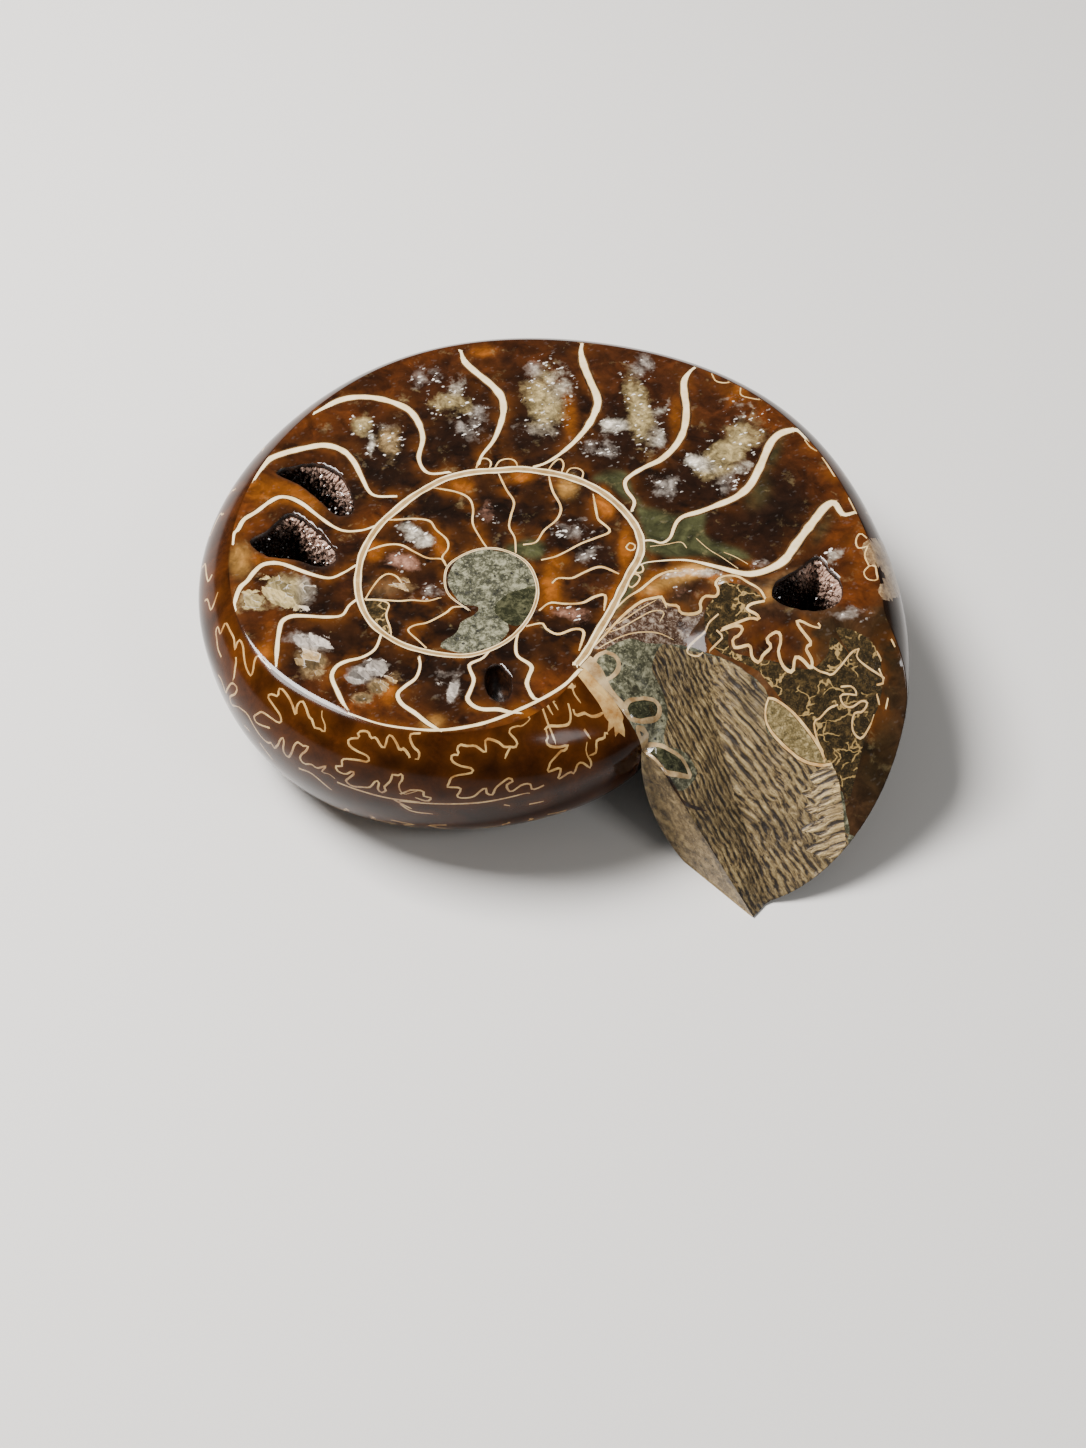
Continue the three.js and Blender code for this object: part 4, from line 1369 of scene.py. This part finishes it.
def make_hollows(stone, rims):
    """The walls of the open hollows."""
    for (depth, _, _), rim in zip(HOLLOWS, rims):
        rings = []
        for share, size in BOWL:
            ring = bowl_point(rim, depth, share, size)
            if share > 0:
                ring += [noise.noise_vector(Vector(p) * 0.9) * 0.16 for p in ring]
            rings.append(ring)
        count = len(rim)
        places = np.vstack(rings + [rings[-1].mean(0)[None]])
        faces = []
        for k in range(len(rings) - 1):
            for i in range(count):
                a, b = k * count + i, k * count + (i + 1) % count
                faces += [(a, b, b + count), (a, b + count, a + count)]
        last = len(places) - 1 - count
        faces += [(last + i, last + (i + 1) % count, len(places) - 1) for i in range(count)]
        faces = np.array(faces)
        a, b, c = (rim[k] for k in (0, count // 3, 2 * count // 3))
        clockwise = cross(b - a, c - a) < 0
        stone.add(places, faces[:, ::-1] if clockwise else faces, POCKET)


CRUST_RINGS = 17
CRUST_DEPTH = 0.35
CRYSTAL_SIDES = 6
CRYSTAL_LENGTH = (0.28, 0.52)
CRYSTAL_RADIUS = (0.12, 0.21)
CRYSTAL_LEAN = 0.9
CRYSTAL_SIDE = (0.64, 0.64, 0.42)
CRYSTAL_DARK = (0.009, 0.0035, 0.002)
CRYSTAL_PALE = (0.46, 0.30, 0.23)


def crystal(place, direction, length, radius, turn):
    """A six-sided crystal with a pointed end."""
    direction = Vector(direction).normalized()
    frame_turn = direction.to_track_quat("Z", "X").to_matrix()
    corners = []
    for height, width in ((-0.2, 1.0), (0.62, 0.9)):
        for i in range(CRYSTAL_SIDES):
            angle = turn + 2 * math.pi * i / CRYSTAL_SIDES
            corners.append(Vector((radius * width * math.cos(angle), radius * width * math.sin(angle),
                                   height * length)))
    corners.append(Vector((0, 0, length)))
    places = [Vector(place) + frame_turn @ corner for corner in corners]
    tip = 2 * CRYSTAL_SIDES
    faces = []
    for i in range(CRYSTAL_SIDES):
        j = (i + 1) % CRYSTAL_SIDES
        faces += [(i, j, j + CRYSTAL_SIDES), (i, j + CRYSTAL_SIDES, i + CRYSTAL_SIDES),
                  (i + CRYSTAL_SIDES, j + CRYSTAL_SIDES, tip)]
    return places, faces


def make_crust(node, depth, rim, materials, rng):
    """A crust of small pointed crystals that lines a hollow, paler and larger on one side, with painted shade
    that darkens them deeper in the hollow.
    """
    centre = Vector((*rim.mean(0), float(top_height(rim).mean()) - 0.2 * depth))
    places, faces, tints = [], [], []
    for share in np.linspace(0.10, 1.0, CRUST_RINGS):
        size = float(np.interp(share, [s for s, _ in BOWL], [w for _, w in BOWL]))
        ring = bowl_point(rim, depth, share, size)
        around = max(4, int(len(rim) * size))
        for i in range(around):
            at = ring[int((i + rng.uniform(0, 0.8)) * len(ring) / around) % len(ring)]
            lean = Vector(rng.uniform(-CRYSTAL_LEAN, CRYSTAL_LEAN, 3))
            inward = (centre - Vector(at)).normalized() + lean
            grown = 0.5 + 0.5 * (Vector(at) - centre).normalized().dot(Vector(CRYSTAL_SIDE))
            length = rng.uniform(*CRYSTAL_LENGTH) * (0.6 + 0.9 * grown)
            more, shape = crystal(at, inward, length, rng.uniform(*CRYSTAL_RADIUS), rng.uniform(0, 1))
            faces += [tuple(k + len(places) for k in face) for face in shape]
            places += more
            # Painted shade: crystals are made darker the deeper their ring lies in the hollow
            pale = np.clip(3.4 * grown - 1.9 + rng.uniform(-0.3, 0.3), 0, 1) * (1 - 0.45 * share)
            shade = np.array(CRYSTAL_DARK) * (1 - pale) + np.array(CRYSTAL_PALE) * pale
            tints += [shade] * len(more)
    places = np.array([tuple(p) for p in places])
    ceiling = top_height(places[:, :2]) - CRUST_DEPTH
    places[:, 2] = np.minimum(places[:, 2], ceiling)
    made = make_object(node + "_points", places, faces, materials, attributes={"tint": np.array(tints)})
    made.data.polygons.foreach_set("use_smooth", np.zeros(len(faces), bool))
    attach(made, "root")
    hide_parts(node)


# Materials

class Shader:
    """A material's nodes, with short ways to make the common ones."""

    def __init__(self, name):
        self.material = bpy.data.materials.new(name)
        self.material.use_nodes = True
        self.tree = self.material.node_tree
        self.surface = self.tree.nodes["Principled BSDF"]

    def node(self, kind, inputs=(), **settings):
        made = self.tree.nodes.new(kind)
        for key, value in settings.items():
            setattr(made, key, value)
        for key, value in dict(inputs).items():
            self.put(made.inputs[key], value)
        return made

    def put(self, socket, value):
        if isinstance(value, bpy.types.NodeSocket):
            self.tree.links.new(value, socket)
        elif isinstance(value, tuple) and len(value) == 3 and socket.type == "RGBA":
            socket.default_value = (*value, 1)
        else:
            socket.default_value = value

    def set(self, **inputs):
        for key, value in inputs.items():
            self.put(self.surface.inputs[key.replace("_", " ")], value)

    def place(self, stretch=(1, 1, 1), turn=0.0):
        """Coordinates in millimetres, turned about the vertical and then stretched."""
        coordinates = self.node("ShaderNodeTexCoord").outputs["Object"]
        turned = self.node("ShaderNodeMapping", {"Vector": coordinates, "Scale": (1000, 1000, 1000),
                                                 "Rotation": (0, 0, math.radians(turn))}).outputs["Vector"]
        return self.node("ShaderNodeMapping", {"Vector": turned, "Scale": stretch}).outputs["Vector"]

    def wavy(self, scale, reach):
        """Coordinates pushed about by noise, so that cells on them aren't straight-sided."""
        where = self.place()
        push = self.node("ShaderNodeTexNoise", {"Vector": where, "Scale": scale, "Detail": 3.0})
        shifted = self.node("ShaderNodeVectorMath", {0: push.outputs["Color"], 1: (0.5, 0.5, 0.5)},
                            operation="SUBTRACT")
        scaled = self.node("ShaderNodeVectorMath", {0: shifted.outputs[0], "Scale": reach}, operation="SCALE")
        return self.node("ShaderNodeVectorMath", {0: where, 1: scaled.outputs[0]}, operation="ADD").outputs[0]

    def bent(self, scale, reach, turn, stretch):
        """Wavy coordinates that are then turned and stretched."""
        where = self.wavy(scale, reach)
        turned = self.node("ShaderNodeMapping", {"Vector": where, "Rotation": (0, 0, math.radians(turn))})
        stretched = self.node("ShaderNodeMapping", {"Vector": turned.outputs["Vector"], "Scale": stretch})
        return stretched.outputs["Vector"]

    def noise(self, scale, detail=4.0, roughness=0.55, distortion=0.0, where=None):
        return self.node("ShaderNodeTexNoise", {"Vector": where or self.place(), "Scale": scale,
                                                "Detail": detail, "Roughness": roughness,
                                                "Distortion": distortion}).outputs["Fac"]

    def cells(self, scale, output="Color", feature="F1", where=None):
        return self.node("ShaderNodeTexVoronoi", {"Vector": where or self.place(), "Scale": scale},
                         feature=feature).outputs[output]

    def ramp(self, value, stops):
        made = self.node("ShaderNodeValToRGB", {"Fac": value})
        elements = made.color_ramp.elements
        while len(elements) < len(stops):
            elements.new(0.5)
        for element, (position, colour) in zip(elements, stops):
            element.position = position
            element.color = (*colour, 1) if isinstance(colour, tuple) else (colour, colour, colour, 1)
        return made.outputs["Color"]

    def mix(self, factor, first, second, blend="MIX"):
        made = self.node("ShaderNodeMix", data_type="RGBA", blend_type=blend)
        self.put(made.inputs[0], factor)
        self.put(made.inputs[6], first)
        self.put(made.inputs[7], second)
        return made.outputs[2]

    def math(self, operation, first, second=0.0, clamp=False):
        made = self.node("ShaderNodeMath", operation=operation, use_clamp=clamp)
        self.put(made.inputs[0], first)
        self.put(made.inputs[1], second)
        return made.outputs[0]

    def attribute(self, name, output="Fac"):
        made = self.node("ShaderNodeAttribute", attribute_type="GEOMETRY", attribute_name=name)
        return made.outputs[output]

    def bump(self, height, strength, distance):
        return self.node("ShaderNodeBump", {"Height": height, "Strength": strength,
                                            "Distance": distance / 1000}).outputs["Normal"]


def chamber_look():
    """Polished calcite: the painted tint with soft depths, milky clouds with two painted reflections, broken
    facets, and white specks that are partly painted glints.
    """
    shader = Shader("chamber_calcite")
    tint = shader.attribute("tint", "Color")
    marble = shader.ramp(shader.noise(0.38, 5, 0.55, 1.2),
                         [(0.32, 0.40), (0.47, 0.85), (0.60, 1.35), (0.72, 2.0)])
    colour = shader.mix(0.9, tint, marble, "MULTIPLY")
    facets = shader.ramp(shader.cells(0.7, "Color", where=shader.wavy(0.7, 1.6)), [(0.2, 0.75), (0.8, 1.3)])
    colour = shader.mix(0.5, colour, facets, "MULTIPLY")
    fibres = shader.ramp(shader.noise(2.2, 5, 0.66, 0.6), [(0.35, 0.72), (0.65, 1.35)])
    colour = shader.mix(0.5, colour, fibres, "MULTIPLY")
    warm = shader.ramp(shader.noise(0.40, 3, 0.55), [(0.42, 0.0), (0.62, 1.0)])
    glow = shader.math("MULTIPLY", shader.math("MULTIPLY", shader.attribute("glow"), warm), 0.6)
    colour = shader.mix(glow, colour, COLOURS["orange"])
    cloud = shader.attribute("cloud")
    colour = shader.mix(soft_cloud_and_reflection(shader, cloud), colour, milk_and_reflection_colour(shader))
    shards = shader.attribute("shards")
    broken = shader.bent(0.9, 0.7, turn=35, stretch=(0.60, 1.20, 1.0))
    colour = shader.mix(shard_shape(shader, shards, broken), colour, shard_milk(shader, broken))
    soft_part = shader.math("SUBTRACT", cloud, shader.math("MULTIPLY", shards, 0.9), True)
    # Painted glints: white specks that stand partly for sparkles of light on the polish
    colour = shader.mix(specks_and_glints(shader, soft_part), colour, (0.82, 0.77, 0.70))
    shader.set(Base_Color=colour, Roughness=0.07, IOR=1.36)
    return shader.material


def soft_cloud_and_reflection(shader, cloud):
    """Where the milky clouds and the painted reflections lie: dense in the middle and ragged outside."""
    broad = shader.math("SUBTRACT", shader.noise(0.55, 2, 0.45, 0.6), 0.5)
    fine = shader.math("SUBTRACT", shader.noise(2.0, 5, 0.62, 0.8), 0.5)
    ragged = shader.math("ADD", shader.math("MULTIPLY", broad, 1.5), shader.math("MULTIPLY", fine, 0.85))
    milky = shader.math("ADD", cloud, ragged)
    return shader.ramp(milky, [(0.22, 0.0), (0.52, 0.24), (0.85, 0.62), (1.0, 0.84)])


def milk_and_reflection_colour(shader):
    """The colour of the clouds and of the painted reflections, brighter and darker in wisps."""
    depth = shader.ramp(shader.noise(0.95, 5, 0.64, 0.9), [(0.34, 0.30), (0.5, 0.80), (0.64, 1.5)])
    return shader.mix(1.0, shader.attribute("cloud_tint", "Color"), depth, "MULTIPLY")


def shard_shape(shader, shards, broken):
    """Where the broken facets lie: whole panes, with a slightly ragged edge."""
    pane = shader.math("SUBTRACT", shader.cells(0.85, "Color", where=broken), 0.5)
    ragged = shader.math("SUBTRACT", shader.noise(2.4, 6, 0.7, 0.4), 0.5)
    uneven = shader.math("ADD", shader.math("MULTIPLY", pane, 0.9), shader.math("MULTIPLY", ragged, 0.55))
    shape = shader.math("ADD", shards, uneven)
    return shader.ramp(shape, [(0.50, 0.0), (0.55, 0.85), (0.80, 0.95)])


def shard_milk(shader, broken):
    """Bright panes of different tones with white cracks between them."""
    pane = shader.ramp(shader.cells(0.85, "Color", where=broken), [(0.15, 0.07), (0.5, 0.34), (0.9, 1.35)])
    milk = shader.mix(0.95, shader.attribute("cloud_tint", "Color"), pane, "MULTIPLY")
    along = shader.bent(0.6, 1.2, turn=62, stretch=(0.22, 1.0, 1.0))
    streaks = shader.ramp(shader.noise(3.2, 4, 0.62, 0.0, along), [(0.36, 0.45), (0.62, 1.45)])
    milk = shader.mix(0.8, milk, streaks, "MULTIPLY")
    edge = shader.cells(0.85, "Distance", "DISTANCE_TO_EDGE", broken)
    crack = shader.ramp(edge, [(0.01, 1.0), (0.035, 0.0)])
    some = shader.ramp(shader.noise(0.8, 2), [(0.48, 0.0), (0.58, 0.6)])
    return shader.mix(shader.math("MULTIPLY", crack, some), milk, (0.80, 0.74, 0.66))


def specks_and_glints(shader, cloud):
    """Small round white specks, partly in the calcite and partly painted glints, thick in the clouds and
    sparse elsewhere.
    """
    found = None
    for scale, size, stretch in ((1.15, 0.15, (1.0, 1.0, 1.0)), (1.6, 0.20, (0.55, 1.5, 1.0))):
        spots = shader.cells(scale, "Distance", where=shader.bent(2.0, 0.4, turn=-25, stretch=stretch))
        dots = shader.ramp(spots, [(size, 1.0), (size + 0.07, 0.0)])
        found = shader.math("MAXIMUM", found, dots) if found else dots
    chosen = shader.ramp(shader.noise(1.2, 3, 0.6), [(0.50, 0.0), (0.57, 1.0)])
    near_cloud_and_reflection = shader.ramp(cloud, [(0.02, 0.02), (0.35, 1.0)])
    return shader.math("MULTIPLY", shader.math("MULTIPLY", found, chosen), near_cloud_and_reflection)


def wall_look(name, light, dark):
    """A line across the polish, in two tones that drift along it."""
    shader = Shader(name)
    patches = shader.ramp(shader.noise(0.7, 5, 0.65), [(0.36, light), (0.66, dark)])
    shader.set(Base_Color=patches, Roughness=0.12)
    return shader.material


def stone_look(name, tones, scale, roughness, relief, squiggles=None):
    """Matrix: fine grains of three colours with small dark holes, pale specks and winding lines."""
    shader = Shader(name)
    dark, middle, light = tones
    grains = shader.ramp(shader.noise(scale, 9, 0.74, 0.4), [(0.36, dark), (0.5, middle), (0.64, light)])
    specks = shader.ramp(shader.noise(scale * 3.4, 3, 0.6), [(0.58, 0.0), (0.64, 1.0)])
    colour = shader.mix(shader.math("MULTIPLY", specks, 0.6), grains, light)
    holes = shader.ramp(shader.cells(scale * 1.1, "Distance", where=shader.wavy(1.5, 0.5)),
                        [(0.12, 1.0), (0.24, 0.0)])
    some = shader.ramp(shader.noise(scale * 0.5, 2), [(0.50, 0.0), (0.56, 1.0)])
    colour = shader.mix(shader.math("MULTIPLY", holes, some), colour, dark)
    if squiggles:
        edge = shader.cells(0.46, "Distance", "DISTANCE_TO_EDGE", shader.wavy(0.55, 3.2))
        line = shader.ramp(edge, [(0.022, 1.0), (0.042, 0.0)])
        broken = shader.ramp(shader.noise(0.5, 2), [(0.46, 0.0), (0.50, 1.0)])
        colour = shader.mix(shader.math("MULTIPLY", line, broken), colour, squiggles)
    normal = shader.bump(shader.noise(scale * 1.6, 8, 0.7), 0.5, relief)
    shader.set(Base_Color=colour, Roughness=roughness, Normal=normal)
    return shader.material


STRIPE_TURN = 52.0
FIBRE_TURN = -14.0
STRIPE_TONES = [(0.39, (0.014, 0.008, 0.003)), (0.45, (0.066, 0.042, 0.015)), (0.51, (0.165, 0.112, 0.045)),
                (0.68, (0.32, 0.235, 0.105))]


def striped_look(name, turn, strength):
    """The mouth's tan limestone, with fine dark lines that run down it or across its edge."""
    shader = Shader(name)
    bent = shader.bent(0.09, 2.6, turn=turn, stretch=(0.045, 1.0, 0.5))
    bands = shader.node("ShaderNodeTexWave", {"Vector": bent, "Scale": 0.50, "Distortion": 3.2, "Detail": 3.0,
                                              "Detail Scale": 1.6}, bands_direction="Y").outputs["Fac"]
    streaks = shader.noise(3.6, 4, 0.58, 0.2, bent)
    lines = shader.math("ADD", shader.math("MULTIPLY", bands, 0.16), shader.math("MULTIPLY", streaks, 0.84))
    stripes = shader.ramp(lines, [(at, tuple(min(strength * part, 1) for part in tone))
                                  for at, tone in STRIPE_TONES])
    broad = shader.ramp(shader.noise(0.22, 3), [(0.35, 0.60), (0.65, 1.25)])
    colour = shader.mix(0.8, stripes, broad, "MULTIPLY")
    grains = shader.ramp(shader.noise(4.5, 5, 0.75), [(0.35, 0.62), (0.62, 1.25)])
    colour = shader.mix(0.8, colour, grains, "MULTIPLY")
    pits = shader.ramp(shader.noise(6.0, 3, 0.6, 0.0, shader.bent(0.3, 1.0, turn, (0.3, 1.0, 0.5))),
                       [(0.34, 1.0), (0.40, 0.0)])
    colour = shader.mix(pits, colour, (0.020, 0.012, 0.006))
    normal = shader.bump(lines, 0.8, 0.5)
    shader.set(Base_Color=colour, Roughness=0.5, Normal=normal)
    return shader.material


def band_look(name, strength):
    """The outside of the shell: deep amber calcite, darker inside the folds."""
    shader = Shader(name)
    tint = shader.attribute("tint", "Color")
    leaves = shader.ramp(shader.noise(0.30, 5, 0.6, 0.8), [(0.36, 0.30 * strength), (0.5, 0.9 * strength),
                                                           (0.66, 1.9 * strength)])
    colour = shader.mix(0.9, tint, leaves, "MULTIPLY")
    fine = shader.ramp(shader.noise(2.2, 6, 0.72), [(0.35, 0.7), (0.65, 1.35)])
    colour = shader.mix(0.7, colour, fine, "MULTIPLY")
    gold = shader.math("MULTIPLY", shader.attribute("glow"), 0.28)
    colour = shader.mix(gold, colour, COLOURS["orange"])
    shader.set(Base_Color=colour, Roughness=0.13, IOR=1.2)
    return shader.material


def crystal_look():
    """Small crystals: the painted tint with a little variation."""
    shader = Shader("calcite_crystals")
    shade = shader.ramp(shader.noise(1.2, 4, 0.6), [(0.35, 0.55), (0.65, 1.5)])
    colour = shader.mix(0.8, shader.attribute("tint", "Color"), shade, "MULTIPLY")
    shader.set(Base_Color=colour, Roughness=0.12)
    return shader.material


# The tones of each wall look, light and dark, and of each stone, from its holes to its specks
WALL_TONES = {
    "partition": ((0.92, 0.78, 0.50), (0.74, 0.56, 0.29)),
    "partition_edge": ((0.070, 0.030, 0.008), (0.016, 0.006, 0.002)),
    "partition_side": ((0.44, 0.29, 0.125), (0.25, 0.145, 0.050)),
    "fine_partition": ((0.76, 0.55, 0.26), (0.48, 0.27, 0.085)),
    "shell": ((0.50, 0.37, 0.20), (0.24, 0.14, 0.055)),
    "suture": ((0.56, 0.37, 0.14), (0.30, 0.14, 0.035)),
}
STONE_TONES = {
    "grey_limestone": ((0.007, 0.007, 0.004), (0.052, 0.052, 0.028), (0.29, 0.28, 0.18)),
    "olive_limestone": ((0.008, 0.0055, 0.0020), (0.021, 0.014, 0.005), (0.085, 0.053, 0.018)),
    "spongy_calcite": ((0.018, 0.008, 0.004), (0.062, 0.031, 0.017), (0.33, 0.26, 0.20)),
    "hollow_calcite": ((0.003, 0.0016, 0.001), (0.012, 0.0045, 0.002), (0.050, 0.020, 0.008)),
    "rim_scar": ((0.06, 0.03, 0.012), (0.20, 0.12, 0.055), (0.38, 0.27, 0.14)),
    "dark_olive_stone": ((0.006, 0.007, 0.003), (0.020, 0.021, 0.009), (0.080, 0.078, 0.040)),
    "gold_stone": ((0.035, 0.026, 0.008), (0.13, 0.095, 0.034), (0.40, 0.31, 0.15)),
    "rough_limestone": ((0.030, 0.020, 0.008), (0.15, 0.10, 0.042), (0.36, 0.26, 0.12)),
}
SQUIGGLES = (0.31, 0.205, 0.075)


def wall(name):
    return wall_look(name, *WALL_TONES[name])


def stone_of(name, scale, roughness, relief, squiggles=None):
    return stone_look(name, STONE_TONES[name], scale, roughness, relief, squiggles)


def stone_materials():
    """Every material of the stone, in the order of the numbers given to them above."""
    return [
        chamber_look(),
        wall("partition"),
        wall("partition_edge"),
        stone_of("grey_limestone", scale=1.1, roughness=0.3, relief=0.12),
        striped_look("striped_limestone", STRIPE_TURN, 1.0),
        wall("shell"),
        stone_of("olive_limestone", scale=1.8, roughness=0.10, relief=0.03, squiggles=SQUIGGLES),
        stone_of("spongy_calcite", scale=1.5, roughness=0.12, relief=0.05),
        band_look("shell_band", 0.38),
        wall("suture"),
        band_look("underside_calcite", 0.35),
        stone_of("hollow_calcite", scale=1.0, roughness=0.35, relief=0.15),
        stone_of("rim_scar", scale=1.2, roughness=0.3, relief=0.1),
        stone_of("dark_olive_stone", scale=1.2, roughness=0.1, relief=0.03),
        wall("fine_partition"),
        stone_of("gold_stone", scale=2.2, roughness=0.3, relief=0.1),
        wall("partition_side"),
        stone_of("rough_limestone", scale=0.9, roughness=0.5, relief=0.4),
        striped_look("pale_fibres", FIBRE_TURN, 1.9),
    ]


# Studio: places and sizes in metres in the frame, power in watts
SKY_COLOUR = (1.0, 0.97, 0.93)
SKY_STRENGTH = 0.23
KEY_LIGHT = {"place": (-0.215, 0.065, 0.365), "aim": (0, 0, 0.01), "size": (0.17, 0.16), "power": 5.2,
             "colour": (1.0, 0.97, 0.95)}
GLINT_LIGHT = {"place": (0.230, -0.182, 0.304), "aim": (0.015, -0.011, 0.015), "size": (0.09, 0.06),
               "power": 0.3}
FLOOR_HALF = 1.5
FLOOR_COLOUR = (0.70, 0.69, 0.67)


def make_camera():
    """The photograph's viewpoint and lens."""
    data = bpy.data.cameras.new("camera")
    data.lens = FOCAL_PX * SENSOR / PHOTO[1]
    data.sensor_width = SENSOR
    data.sensor_fit = "AUTO"
    camera = bpy.data.objects.new("camera", data)
    camera.location = (np.array(CAMERA) + (*COIL_AXIS, REST)) / 1000
    camera.rotation_euler = (math.radians(90 - PITCH), 0, 0)
    bpy.context.scene.collection.objects.link(camera)
    bpy.context.scene.camera = camera


def make_light(name, place, aim, size, power, colour=(1, 1, 1)):
    data = bpy.data.lights.new(name, "AREA")
    data.shape = "RECTANGLE"
    data.size, data.size_y = size
    data.energy = power
    data.color = colour
    light = bpy.data.objects.new(name, data)
    light.location = place
    light.rotation_euler = (Vector(aim) - Vector(place)).to_track_quat("-Z", "Y").to_euler()
    bpy.context.scene.collection.objects.link(light)


def make_floor():
    mesh = bpy.data.meshes.new("floor")
    corners = [(x * FLOOR_HALF, y * FLOOR_HALF, 0) for x, y in ((-1, -1), (1, -1), (1, 1), (-1, 1))]
    mesh.from_pydata(corners, [], [(0, 1, 2, 3)])
    shader = Shader("floor")
    shader.set(Base_Color=FLOOR_COLOUR, Roughness=0.7)
    mesh.materials.append(shader.material)
    floor = bpy.data.objects.new("floor", mesh)
    bpy.context.scene.collection.objects.link(floor)


def make_studio():
    world = bpy.data.worlds.new("studio")
    world.use_nodes = True
    background = world.node_tree.nodes["Background"]
    background.inputs["Color"].default_value = (*SKY_COLOUR, 1)
    background.inputs["Strength"].default_value = SKY_STRENGTH
    bpy.context.scene.world = world
    make_light("key", **KEY_LIGHT)
    make_light("glint", **GLINT_LIGHT)


def main():
    rng = np.random.default_rng(SEED)
    noise.seed_set(SEED)  # without it noise_vector starts from the clock
    stone = Stone()
    rims = make_top(stone, rng)
    make_side(stone, rng)
    make_end(stone, rng)
    make_underside(stone)
    make_hollows(stone, rims)
    fossil = stone.build("ammonite_stone", stone_materials())
    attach(fossil, "root")
    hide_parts("ammonite")
    crystals = [crystal_look()]
    for (depth, _, node), rim in zip(HOLLOWS, rims):
        if node:
            make_crust(node, depth, rim, crystals, rng)
    make_floor()
    make_studio()
    make_camera()


main()
